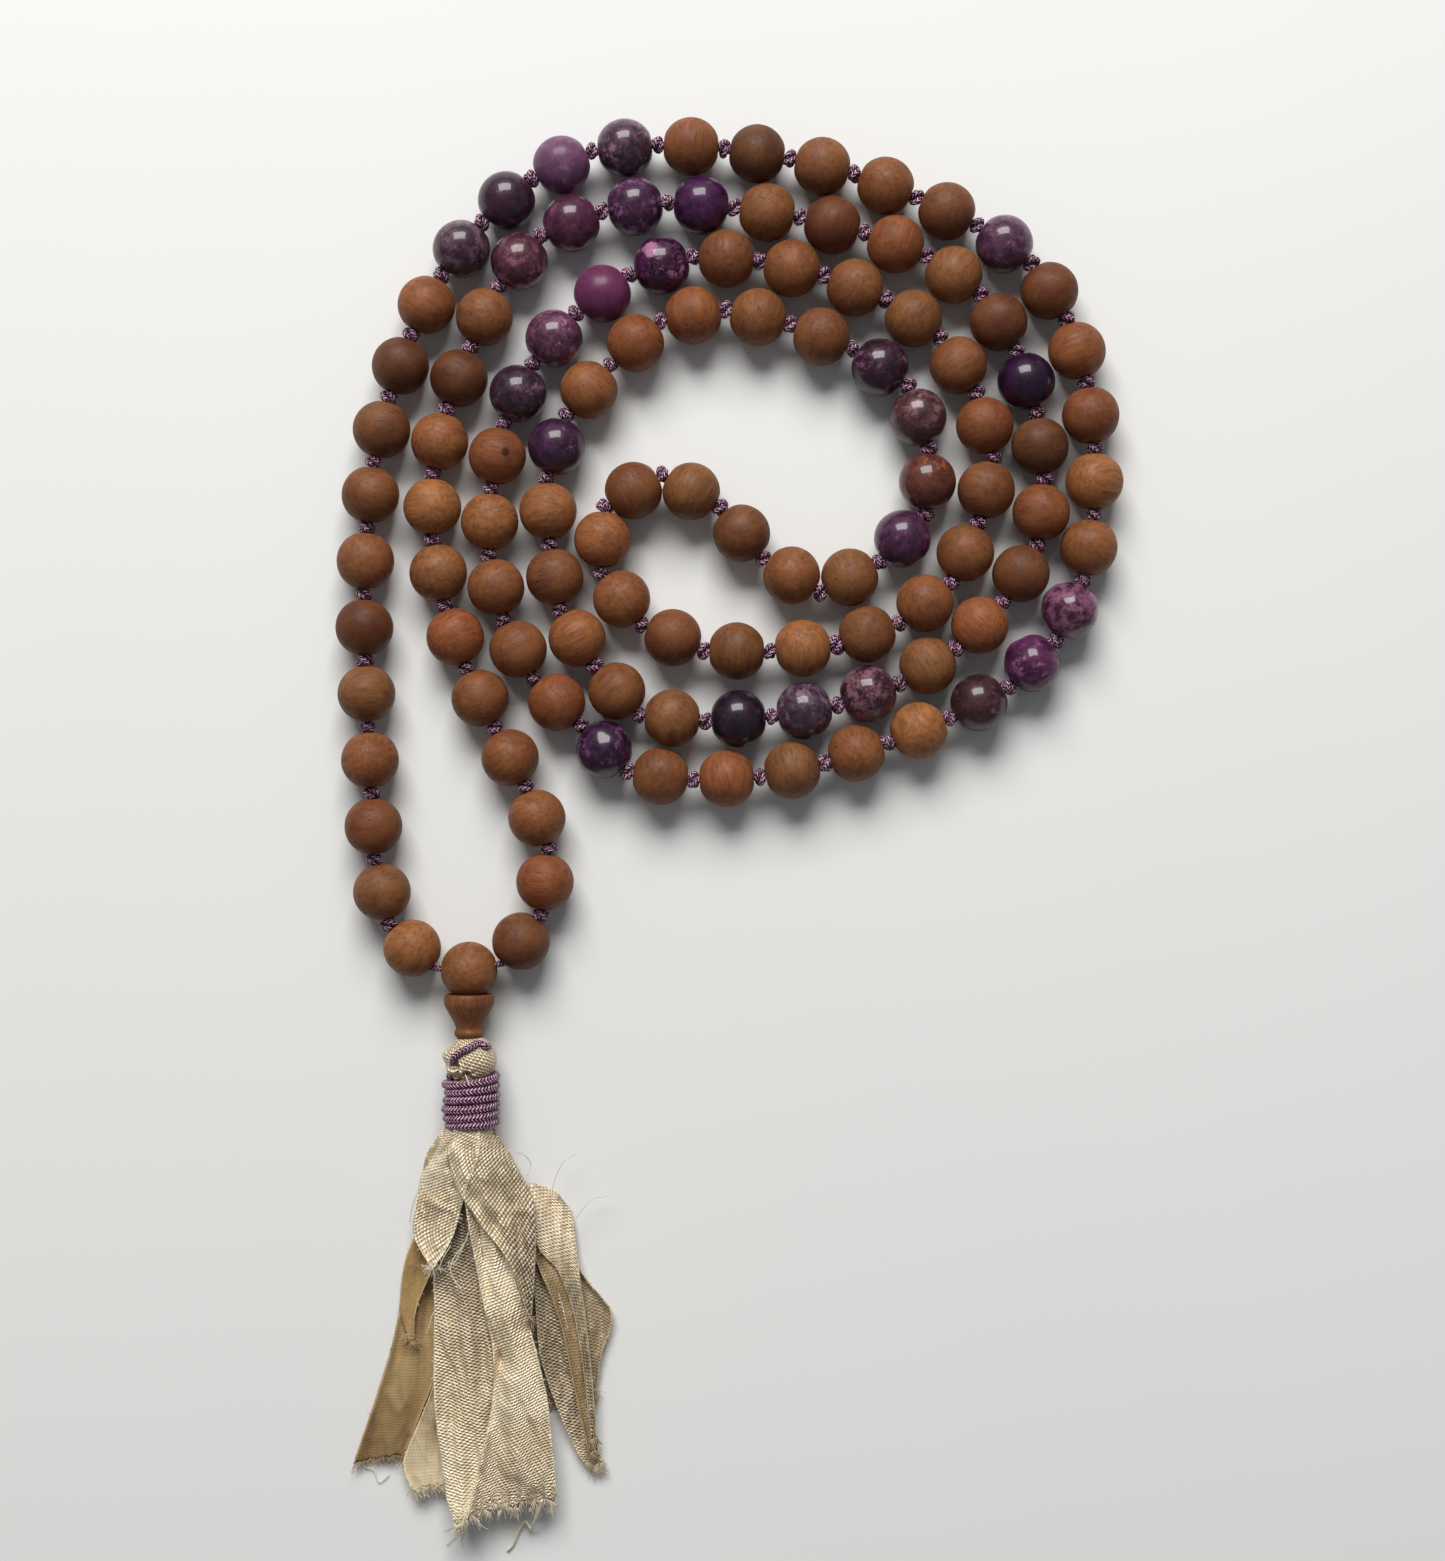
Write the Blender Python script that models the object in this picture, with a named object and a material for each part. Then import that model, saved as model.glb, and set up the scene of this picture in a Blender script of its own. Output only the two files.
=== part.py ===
"""Mala prayer beads: 108 beads on a knotted cord, a guru bead, a stem bead and a silk tassel.

Laid out flat: the closed loop lies as a doubled strand that winds inwards, clockwise seen from above, and
ends in a small inner loop. The last six beads of both strands hang down to the guru bead and its tassel.

Metres, +Z up, +Y along the longest side. The surface it lies on is z = 0, and the origin is the middle of
the footprint. Knot k lies after bead k, counting from the guru bead along the outer strand, so that bead k
lies between knots k - 1 and k.
"""

import math

import bmesh
import bpy
import numpy as np
from mathutils import Matrix, Vector

# Driving dimensions, metres.
BEADS = 108
BEAD_RADIUS = 0.0040
PITCH = 0.00935  # knot to knot: one bead and one knot
GAP = 0.00035  # between neighbouring solids
CORD_RADIUS = 0.0005
BORE_RADIUS = 0.00085
KNOT_RADIUS = 0.0014
DOUBLE_KNOT_RADIUS = 0.0018
KNOT_END_RADIUS = 0.0009
KNOT_HALF_LENGTH = 0.00025
DOUBLE_KNOT = 54  # the knot opposite the guru bead
LAST_INNER_KNOT = 63  # the inner loop goes from the double knot to this one

# Where each kind of bead lies, by its number.
STONE_GROUPS = [
    (12, 15), (21, 21), (27, 29), (35, 35), (41, 44), (65, 68), (74, 74), (80, 82), (88, 88), (94, 97),
]
PENDANT_BEADS = 6  # on each side of the guru bead, each in a solid of its own
# Runs of wood beads on one length of cord, which goes on through the stones that follow: first and last
# wood bead, the last stone, and whether the cord starts with a knot and ends with one.
WOOD_RUNS = [
    (7, 11, 15, True, True),
    (16, 20, 21, False, True),
    (22, 26, 29, False, True),
    (30, 34, 35, False, True),
    (36, 40, 44, False, True),
    (45, 54, 54, False, True),
    (55, 63, 63, False, False),
    (64, 64, 68, True, True),
    (69, 73, 74, False, True),
    (75, 79, 82, False, True),
    (83, 87, 88, False, True),
    (89, 93, 97, False, True),
    (98, 102, 102, False, True),
]
INNER_LOOP_RUN = 7

# The strand's route: knot number, x and y.
ROUTE = [
    (0, -0.0405, -0.0225), (1, -0.0480, -0.0165), (3, -0.0500, 0.0025), (9, -0.0480, 0.0590),
    (12, -0.0355, 0.0850), (14, -0.0195, 0.0950), (16, -0.0005, 0.0945), (19, 0.0270, 0.0870),
    (21, 0.0435, 0.0775), (24, 0.0515, 0.0515), (27, 0.0455, 0.0245), (30, 0.0220, 0.0105),
    (34, -0.0130, 0.0080), (37, -0.0315, 0.0275), (40, -0.0325, 0.0555), (44, -0.0045, 0.0790),
    (46, 0.0140, 0.0760), (48, 0.0305, 0.0675), (50, 0.0370, 0.0505), (52, 0.0310, 0.0335),
    (55, 0.0060, 0.0235), (57, -0.0115, 0.0270), (59, -0.0175, 0.0435), (60, -0.0095, 0.0475),
    (63, 0.0130, 0.0320), (65, 0.0275, 0.0430), (67, 0.0250, 0.0610), (71, -0.0095, 0.0700),
    (74, -0.0260, 0.0475), (78, -0.0115, 0.0155), (80, 0.0060, 0.0145), (83, 0.0315, 0.0240),
    (85, 0.0430, 0.0380), (89, 0.0355, 0.0735), (92, 0.0100, 0.0845), (96, -0.0265, 0.0825),
    (99, -0.0395, 0.0575), (102, -0.0400, 0.0300), (107, -0.0265, -0.0135), (108, -0.0320, -0.0210),
]
SETTLE_ROUNDS = 400
FOLLOW = 0.04  # how strongly a knot is drawn to its place on the route, at the first round
FOLLOW_UNTIL = 0.75 * SETTLE_ROUNDS
CLEAR = 2 * BEAD_RADIUS + GAP  # between the centres of beads that lie side by side
CLEAR_ON_CORD = 2 * BEAD_RADIUS + 0.00015  # between the centres of beads next to each other on the cord

# Guru bead, stem bead and tassel. The tassel's axis runs along -Y at the height of the bead centres.
AXIS_Z = BEAD_RADIUS
GURU = Vector((-0.0365, -0.0215, AXIS_Z))
STEM_BORE_RADIUS = 0.0009
# Stem bead, outer side: distance below the guru bead's centre, and radius.
STEM_PROFILE = [
    (0.0034, 0.0033), (0.0040, 0.0035), (0.0050, 0.0034), (0.0060, 0.0029),
    (0.0069, 0.0024), (0.0080, 0.0019), (0.0088, 0.0021), (0.0097, 0.0014),
]
STEM_SEAT = [(0.0044, STEM_BORE_RADIUS), (0.0039, 0.0021)]
STEM_MIDDLE = 0.0062
TASSEL_CORD_RADIUS = 0.00055
FOOT = 0.0098  # the tassel hangs from here, below the guru bead's centre
HEAD_RADIUS = 0.0037
HEAD_CENTRE = 0.0129
HEAD_HALF_LENGTH = 0.0027
HEAD_RING_ANGLES = (-80, -45, 0, 45)
LOOP_ANGLES = (62, -28)  # where the cord loop starts and ends on the head, degrees above its middle
LOOP_POINTS = 8
LOOP_LEAN = math.radians(30)  # to the left of straight up
CORE_RADIUS = 0.0026
CORE_END = 0.0231
WRAP_START = 0.0156
WRAP_END = 0.0229
WRAP_TURNS = 7
WRAP_INNER_RADIUS = 0.0030
WRAP_OUTER_RADIUS = 0.0039
WRAP_GROOVE_RADIUS = 0.0036
# Skirt strips, each as sections from the wrap to the hem: y, left x, right x, bottom z and top z.
SKIRT = {
    "skirt_left": [
        (-0.0450, -0.0398, -0.0378, 0.0010, 0.0068),
        (-0.0560, -0.0435, -0.0398, 0.0000, 0.0050),
        (-0.0700, -0.0478, -0.0415, 0.0000, 0.0036),
        (-0.0910, -0.0530, -0.0437, 0.0000, 0.0022),
    ],
    "skirt_centre": [
        (-0.0450, -0.0374, -0.0348, 0.0006, 0.0074),
        (-0.0560, -0.0394, -0.0318, 0.0000, 0.0052),
        (-0.0700, -0.0411, -0.0292, 0.0000, 0.0036),
        (-0.0993, -0.0433, -0.0248, 0.0000, 0.0022),
    ],
    "skirt_right": [
        (-0.0450, -0.0344, -0.0325, 0.0010, 0.0068),
        (-0.0560, -0.0314, -0.0256, 0.0000, 0.0050),
        (-0.0700, -0.0288, -0.0208, 0.0000, 0.0036),
        (-0.0925, -0.0248, -0.0172, 0.0000, 0.0022),
    ],
}

STRAND_SIDES = 8
BEAD_SIDES = 10
TASSEL_SIDES = 12
RING_ANGLES = (-45, 0, 45)  # a bead's rings, degrees from its equator
STRAND_POLE = 0.00387  # from a wood bead's centre to its flat pole
GURU_RING_ANGLES = (-72, -40, 0, 40, 72)
GURU_HOLE_SIDES = 8
GURU_HOLE_REACH = 1.5 * BEAD_RADIUS  # how far its cutters reach, past its surface
SHARP_ANGLE = math.radians(50)


def material(name, colour, roughness):
    made = bpy.data.materials.new(name)
    made.use_nodes = True
    shader = made.node_tree.nodes["Principled BSDF"]
    shader.inputs["Base Color"].default_value = (*colour, 1.0)
    shader.inputs["Roughness"].default_value = roughness
    shader.inputs["Metallic"].default_value = 0.0
    return made


def add_object(name, data, finish, parent=None):
    """Puts a mesh or curve in the scene. Its points are in world space unless its matrix is set later."""
    made = bpy.data.objects.new(name, data)
    bpy.context.scene.collection.objects.link(made)
    if not data.materials:
        data.materials.append(finish)
    if parent is not None:
        made.parent = parent
        made.matrix_parent_inverse = parent.matrix_world.inverted()
    return made


def add_pivot(name, point, parent=None):
    """An empty on a joint's axis, which the pieces that turn there are parented to."""
    made = bpy.data.objects.new(name, None)
    bpy.context.scene.collection.objects.link(made)
    made.empty_display_size = BEAD_RADIUS
    if parent is not None:
        made.parent = parent
        made.matrix_parent_inverse = parent.matrix_world.inverted()
    made.matrix_world = Matrix.Translation(point)
    bpy.context.view_layer.update()
    return made


def ring_mesh(name, rings, closed=False):
    """A solid through rings of points: its ends are capped, or joined to each other if closed."""
    sides = len(rings[0])
    shape = bmesh.new()
    loops = [[shape.verts.new(point) for point in ring] for ring in rings]
    pairs = list(zip(loops, loops[1:]))
    if closed:
        pairs.append((loops[-1], loops[0]))
    else:
        shape.faces.new(loops[0])
        shape.faces.new(reversed(loops[-1]))
    for one, other in pairs:
        for a in range(sides):
            b = (a + 1) % sides
            shape.faces.new((one[a], other[a], other[b], one[b]))
    bmesh.ops.recalc_face_normals(shape, faces=shape.faces)
    made = bpy.data.meshes.new(name)
    shape.to_mesh(made)
    shape.free()
    made.shade_smooth()
    made.set_sharp_from_angle(angle=SHARP_ANGLE)
    return made


def turned_rings(profile, sides):
    """Rings about the local X axis, from (distance along it, radius), each with a point straight down."""
    turns = [math.tau * a / sides - math.pi / 2 for a in range(sides)]
    return [[(along, r * math.cos(t), r * math.sin(t)) for t in turns] for along, r in profile]


def ball_profile(radius, angles):
    return [(radius * math.sin(math.radians(a)), radius * math.cos(math.radians(a))) for a in angles]


# ---- the strand's layout ----------------------------------------------------------------------------


def route_curve():
    """The place of every knot, read from one smooth curve through the route's points."""
    number = np.array([row[0] for row in ROUTE], float)
    point = np.array([row[1:] for row in ROUTE])
    span = np.diff(number)[:, None]
    slope = np.diff(point, axis=0) / span
    tangent = np.empty_like(point)
    tangent[1:-1] = (slope[:-1] * span[1:] + slope[1:] * span[:-1]) / (span[:-1] + span[1:])
    tangent[0] = 1.5 * slope[0] - 0.5 * tangent[1]
    tangent[-1] = 1.5 * slope[-1] - 0.5 * tangent[-2]
    knots = []
    for knot in range(BEADS + 1):
        i = min(int(np.searchsorted(number, knot, side="right")) - 1, len(span) - 1)
        h = span[i, 0]
        u = (knot - number[i]) / h
        knots.append(
            (2 * u**3 - 3 * u**2 + 1) * point[i]
            + (u**3 - 2 * u**2 + u) * h * tangent[i]
            + (3 * u**2 - 2 * u**3) * point[i + 1]
            + (u**3 - u**2) * h * tangent[i + 1]
        )
    return np.array(knots)


def even_out(knots):
    """Brings every two neighbouring knots to one pitch apart."""
    for start in (0, 1):
        a = np.arange(start, BEADS, 2)
        step = knots[a + 1] - knots[a]
        length = np.hypot(step[:, 0], step[:, 1])[:, None]
        move = step * (1 - PITCH / length) / 2
        knots[a] += move
        knots[a + 1] -= move


def limit_bends(knots):
    """Opens any bend at which two beads next to each other on the cord would meet."""
    reach = knots[2:] - knots[:-2]
    length = np.hypot(reach[:, 0], reach[:, 1])
    for i in np.flatnonzero(length < 2 * CLEAR_ON_CORD):
        move = reach[i] * (2 * CLEAR_ON_CORD / length[i] - 1) / 2
        knots[i] -= move
        knots[i + 2] += move


def part_beads(knots):
    """Pushes apart beads of neighbouring strands, and beads and the guru bead, where they would meet."""
    centres = np.vstack([(knots[1:] + knots[:-1]) / 2, GURU.xy])
    apart = centres[None] - centres[:, None]
    distance = np.hypot(apart[..., 0], apart[..., 1])
    np.fill_diagonal(distance, 1.0)
    for i, j in np.argwhere(np.triu(distance < CLEAR)):
        if j < BEADS and j - i == 1:
            continue
        move = apart[i, j] * (CLEAR / distance[i, j] - 1) / 2
        knots[i : i + 2] -= move
        if j < BEADS:
            knots[j : j + 2] += move


def lay_strand():
    """The place of each knot with the strand at rest on the surface: evenly spaced, and no beads meeting."""
    target = route_curve()
    knots = target.copy()
    for step in range(SETTLE_ROUNDS):
        follow = FOLLOW * max(0.0, 1 - step / FOLLOW_UNTIL)
        knots += follow * (target - knots)
        even_out(knots)
        limit_bends(knots)
        part_beads(knots)
    return knots


KNOTS = lay_strand()


def knot_point(knot):
    return Vector((*KNOTS[knot], AXIS_Z))


def bead_axis(bead):
    return (knot_point(bead) - knot_point(bead - 1)).normalized()


def bead_centre(bead):
    return (knot_point(bead) + knot_point(bead - 1)) / 2


# ---- lengths of strand ------------------------------------------------------------------------------


def wood_bead(bead):
    profile = ball_profile(BEAD_RADIUS, RING_ANGLES)
    axis = bead_axis(bead)
    rings = [(bead_centre(bead) + axis * along, axis, radius) for along, radius in profile]
    return [pole(bead, -1)] + rings + [pole(bead, 1)]


def pole(bead, side):
    """The flat end of a wood bead, around its bore; side is 1 towards the next bead, else -1."""
    return (bead_centre(bead) + bead_axis(bead) * side * STRAND_POLE, bead_axis(bead), KNOT_END_RADIUS)


def knot(number):
    before = max(number, 1)
    after = min(number + 1, BEADS)
    radius = DOUBLE_KNOT_RADIUS if number == DOUBLE_KNOT else KNOT_RADIUS
    return (knot_point(number), (bead_axis(before) + bead_axis(after)).normalized(), radius)


def knot_end(number, bead, side):
    """The free end of a knot, next to the bead that it doesn't hold."""
    return (knot_point(number) + bead_axis(bead) * side * KNOT_HALF_LENGTH, bead_axis(bead), KNOT_END_RADIUS)


def cord_through(bead):
    """The cord inside a stone bead's bore, straight from knot to knot."""
    reach = PITCH / 2 - GAP
    axis = bead_axis(bead)
    return [(bead_centre(bead) + axis * along, axis, CORD_RADIUS) for along in (-reach, reach)]


def guru_end(bead, side):
    """The cord from the first or last bead into the guru bead's side hole, from the bead outwards."""
    start = bead_centre(bead) + bead_axis(bead) * side * STRAND_POLE
    towards = (GURU - start).normalized()
    reach = (GURU - start).length - BEAD_RADIUS / 2
    stations = [
        (start + towards * GAP / 2, towards, CORD_RADIUS),
        (start + towards * reach, towards, CORD_RADIUS),
    ]
    if side < 0:
        return [(point, -along, radius) for point, along, radius in reversed(stations)]
    return stations


def strand_mesh(name, stations):
    """A solid swept through (centre, direction, radius), all at one height."""
    turns = [math.tau * a / STRAND_SIDES - math.pi / 2 for a in range(STRAND_SIDES)]
    up = Vector((0, 0, 1))
    rings = []
    for centre, along, radius in stations:
        across = Vector((-along.y, along.x, 0.0)).normalized()
        rings.append([centre + radius * (across * math.cos(t) + up * math.sin(t)) for t in turns])
    return ring_mesh(name, rings)


def wood_run_stations(first, last, last_stone, starts_with_knot, ends_with_knot):
    stations = []
    if starts_with_knot:
        stations = [knot_end(first - 1, first - 1, -1), knot(first - 1)]
    for bead in range(first, last + 1):
        stations += wood_bead(bead)
        if bead < last:
            stations.append(knot(bead))
    if not ends_with_knot:
        return stations
    for stone in range(last + 1, last_stone + 1):
        stations.append(knot(stone - 1))
        stations += cord_through(stone)
    return stations + [knot(last_stone), knot_end(last_stone, last_stone + 1, 1)]


def make_wood_runs(wood, inner_pivot):
    for index, run in enumerate(WOOD_RUNS, start=1):
        name = f"wood_run_{index:02d}"
        parent = inner_pivot if index == INNER_LOOP_RUN else None
        add_object(name, strand_mesh(name, wood_run_stations(*run)), wood, parent)


def make_stone_beads(stone):
    """Turned beads with a bore, each free to turn on the cord, and so each with its origin at its centre."""
    edge = math.degrees(math.acos(BORE_RADIUS / BEAD_RADIUS))
    outer = ball_profile(BEAD_RADIUS, (-edge, *RING_ANGLES, edge))
    rings = turned_rings(outer, BEAD_SIDES)
    mesh = ring_mesh("stone_bead", rings, closed=True)
    numbers = [bead for first, last in STONE_GROUPS for bead in range(first, last + 1)]
    for count, bead in enumerate(numbers, start=1):
        made = add_object(f"stone_bead_{count:02d}", mesh, stone)
        turn = math.atan2(bead_axis(bead).y, bead_axis(bead).x)
        made.matrix_world = Matrix.Translation(bead_centre(bead)) @ Matrix.Rotation(turn, 4, "Z")


# ---- the pendant and the tassel ---------------------------------------------------------------------


def make_pendant_pivots():
    """One empty on each fold's axis, half way between its two knots, each hung on the one before."""
    pivots = []
    parent = None
    for count in range(PENDANT_BEADS):
        left = PENDANT_BEADS - count
        right = BEADS - PENDANT_BEADS + count
        middle = (knot_point(left) + knot_point(right)) / 2
        parent = add_pivot(f"fold_pivot_{count + 1}", middle, parent)
        pivots.append(parent)
    return pivots


def make_pendant_beads(wood, pivots):
    """The wood beads of both strands from the coil down to the guru bead, with the knot below each."""
    for count, pivot in enumerate(pivots):
        number = PENDANT_BEADS - count
        left = number
        right = BEADS + 1 - number
        if number > 1:
            above = [knot_end(left - 1, left - 1, -1), knot(left - 1)]
            below = [knot(right), knot_end(right, right + 1, 1)]
        else:
            above = guru_end(left, -1)
            below = guru_end(right, 1)
        for side, stations in (("left", above + wood_bead(left)), ("right", wood_bead(right) + below)):
            name = f"wood_bead_{side}_{number}"
            add_object(name, strand_mesh(name, stations), wood, pivot)


def make_cutter(name, start, end, radius):
    """A rod from start to end that a Boolean takes away."""
    along = end - start
    shape = bmesh.new()
    bmesh.ops.create_cone(
        shape, cap_ends=True, segments=GURU_HOLE_SIDES, radius1=radius, radius2=radius, depth=along.length,
    )
    data = bpy.data.meshes.new(name)
    shape.to_mesh(data)
    shape.free()
    made = bpy.data.objects.new(name, data)
    bpy.context.scene.collection.objects.link(made)
    turn = along.to_track_quat("Z", "Y").to_matrix().to_4x4()
    made.matrix_world = Matrix.Translation((start + end) / 2) @ turn
    made.hide_render = True
    made.display_type = "WIRE"
    return made


def make_guru_bead(wood, pivot):
    """A round bead with three holes that meet in its middle: one to each strand, one to the tassel."""
    rings = turned_rings(ball_profile(BEAD_RADIUS, GURU_RING_ANGLES), TASSEL_SIDES)
    made = add_object("guru_bead", ring_mesh("guru_bead", rings), wood, pivot)
    made.matrix_world = Matrix.Translation(GURU) @ Matrix.Rotation(-math.pi / 2, 4, "Z")
    first = bead_centre(1) - bead_axis(1) * STRAND_POLE
    last = bead_centre(BEADS) + bead_axis(BEADS) * STRAND_POLE
    below = GURU - Vector((0, 2 * BEAD_RADIUS, 0))
    for side, aim in (("left", first), ("right", last), ("bottom", below)):
        out = (aim - GURU).normalized()
        start = GURU - out * BORE_RADIUS
        end = GURU + out * GURU_HOLE_REACH
        cutter = make_cutter(f"guru_hole_{side}", start, end, BORE_RADIUS)
        cut = made.modifiers.new(f"hole_{side}", "BOOLEAN")
        cut.operation = "DIFFERENCE"
        cut.object = cutter


def below_guru(mesh_name, profile, sides, closed=False):
    """A turned mesh on the tassel's axis, from (distance below the guru bead's centre, radius)."""
    return ring_mesh(mesh_name, turned_rings(profile, sides), closed)


def hang(made, origin=0.0):
    """Turns a piece modelled along +X to run along -Y from the guru bead's centre."""
    place = Matrix.Translation(GURU) @ Matrix.Rotation(-math.pi / 2, 4, "Z")
    made.data.transform(Matrix.Translation((-origin, 0, 0)))
    made.matrix_world = place @ Matrix.Translation((origin, 0, 0))


def cord_object(name, points, radius, finish, parent):
    """A plain tube through points, with filled ends."""
    data = bpy.data.curves.new(name, "CURVE")
    data.dimensions = "3D"
    data.bevel_depth = radius
    data.bevel_resolution = 2
    data.use_fill_caps = True
    line = data.splines.new("POLY")
    line.points.add(len(points) - 1)
    for entry, point in zip(line.points, points):
        entry.co = (*point, 1.0)
    return add_object(name, data, finish, parent)


def make_stem(wood, cord, stem_pivot):
    """The stem bead, which turns on the cord that carries the tassel, and that cord."""
    profile = STEM_PROFILE + [(STEM_PROFILE[-1][0], STEM_BORE_RADIUS)] + STEM_SEAT
    mesh = below_guru("stem_bead", profile, TASSEL_SIDES, closed=True)
    stem = add_object("stem_bead", mesh, wood, stem_pivot)
    hang(stem, STEM_MIDDLE)
    start = BEAD_RADIUS + GAP
    points = [GURU - Vector((0, start + (FOOT - start) * part, 0)) for part in (0.0, 0.5, 1.0)]
    cord_object("tassel_cord", points, TASSEL_CORD_RADIUS, cord, stem_pivot)


def make_tassel_head(silk, cord, tassel_pivot):
    """The cloth ball and the core below it, the cord that loops over it, and the binding."""
    ball = [
        (HEAD_CENTRE + HEAD_HALF_LENGTH * math.sin(angle), HEAD_RADIUS * math.cos(angle))
        for angle in map(math.radians, HEAD_RING_ANGLES)
    ]
    core = [(HEAD_CENTRE + HEAD_HALF_LENGTH, CORE_RADIUS), (CORE_END, CORE_RADIUS)]
    mesh = below_guru("tassel_head", ball + core, TASSEL_SIDES)
    head = add_object("tassel_head", mesh, silk, tassel_pivot)
    hang(head, FOOT)

    turn = (WRAP_END - WRAP_START) / WRAP_TURNS
    outer = [(WRAP_START, WRAP_GROOVE_RADIUS)]
    for count in range(WRAP_TURNS):
        outer.append((WRAP_START + (count + 0.5) * turn, WRAP_OUTER_RADIUS))
        outer.append((WRAP_START + (count + 1) * turn, WRAP_GROOVE_RADIUS))
    profile = outer + [(WRAP_END, WRAP_INNER_RADIUS), (WRAP_START, WRAP_INNER_RADIUS)]
    mesh = below_guru("tassel_wrap", profile, TASSEL_SIDES, closed=True)
    wrap = add_object("tassel_wrap", mesh, cord, tassel_pivot)
    hang(wrap, FOOT)

    middle = GURU - Vector((0, HEAD_CENTRE, 0))
    reach_along = HEAD_HALF_LENGTH + GAP + CORD_RADIUS
    reach_up = HEAD_RADIUS + GAP + CORD_RADIUS
    lean = Vector((-math.sin(LOOP_LEAN), 0, math.cos(LOOP_LEAN)))
    points = []
    for angle in np.radians(np.linspace(*LOOP_ANGLES, LOOP_POINTS)):
        along = Vector((0, reach_along * math.sin(angle), 0))
        points.append(middle + along + lean * reach_up * math.cos(angle))
    cord_object("cord_loop", points, CORD_RADIUS, cord, tassel_pivot)


def make_skirt(silk, tassel_pivot):
    """The strips of raw silk below the binding, as plain solids that taper to the hem."""
    for name, sections in SKIRT.items():
        rings = [
            [(left, y, low), (right, y, low), (right, y, high), (left, y, high)]
            for y, left, right, low, high in sections
        ]
        add_object(name, ring_mesh(name, rings), silk, tassel_pivot)


def main():
    for found in list(bpy.data.objects):
        bpy.data.objects.remove(found, do_unlink=True)
    wood = material("sandalwood", (0.42, 0.20, 0.08), 0.45)
    stone = material("lepidolite", (0.20, 0.07, 0.16), 0.12)
    cord = material("braided_cord", (0.30, 0.15, 0.20), 0.80)
    silk = material("raw_silk", (0.72, 0.58, 0.42), 0.60)

    inner_middle = (knot_point(DOUBLE_KNOT) + knot_point(LAST_INNER_KNOT)) / 2
    make_wood_runs(wood, add_pivot("inner_loop_pivot", inner_middle))
    make_stone_beads(stone)

    pivots = make_pendant_pivots()
    make_pendant_beads(wood, pivots)
    make_guru_bead(wood, pivots[-1])
    stem_pivot = add_pivot("stem_pivot", GURU, pivots[-1])
    make_stem(wood, cord, stem_pivot)
    tassel_pivot = add_pivot("tassel_pivot", GURU - Vector((0, FOOT, 0)), stem_pivot)
    make_tassel_head(silk, cord, tassel_pivot)
    make_skirt(silk, tassel_pivot)


main()
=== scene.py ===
"""How the mala looks: wood and stone beads on a knotted cord, a guru bead, a stem bead and a silk tassel.

Metres, +Z up, +Y along the longest side, lying on z = 0; the silk's outlines and folds are in mm.
Knot k lies after bead k, counting from the guru bead along the outer strand, so that bead k lies
between knots k - 1 and k.
"""

import math
from dataclasses import dataclass

import bmesh
import bpy
import numpy as np
from mathutils import Matrix, Vector, noise


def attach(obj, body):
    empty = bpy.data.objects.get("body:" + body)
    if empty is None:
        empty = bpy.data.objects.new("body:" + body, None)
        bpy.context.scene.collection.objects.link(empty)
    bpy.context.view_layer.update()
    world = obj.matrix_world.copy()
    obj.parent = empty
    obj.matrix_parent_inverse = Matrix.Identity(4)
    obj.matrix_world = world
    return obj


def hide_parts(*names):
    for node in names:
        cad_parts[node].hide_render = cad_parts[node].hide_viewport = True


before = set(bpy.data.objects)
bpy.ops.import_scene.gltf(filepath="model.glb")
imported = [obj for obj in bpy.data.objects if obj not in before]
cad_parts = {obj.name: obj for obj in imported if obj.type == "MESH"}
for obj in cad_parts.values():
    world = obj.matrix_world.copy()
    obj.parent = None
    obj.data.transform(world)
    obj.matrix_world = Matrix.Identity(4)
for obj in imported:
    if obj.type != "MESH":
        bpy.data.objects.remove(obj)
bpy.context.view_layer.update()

# ---- the strand's layout, as in the CAD model ---------------------------------------------------------

BEADS = 108
BEAD_RADIUS = 0.0040
PITCH = 0.00935  # knot to knot: one bead and one knot
GAP = 0.00035  # between beads of neighbouring strands
GAP_ON_CORD = 0.00015  # the least between two beads that follow each other on the cord
CORD_RADIUS = 0.0005
BORE_RADIUS = 0.00085
DOUBLE_KNOT = 54  # the knot opposite the guru bead
LAST_INNER_KNOT = 63
AXIS_Z = BEAD_RADIUS
GURU = Vector((-0.0365, -0.0215, AXIS_Z))

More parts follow.
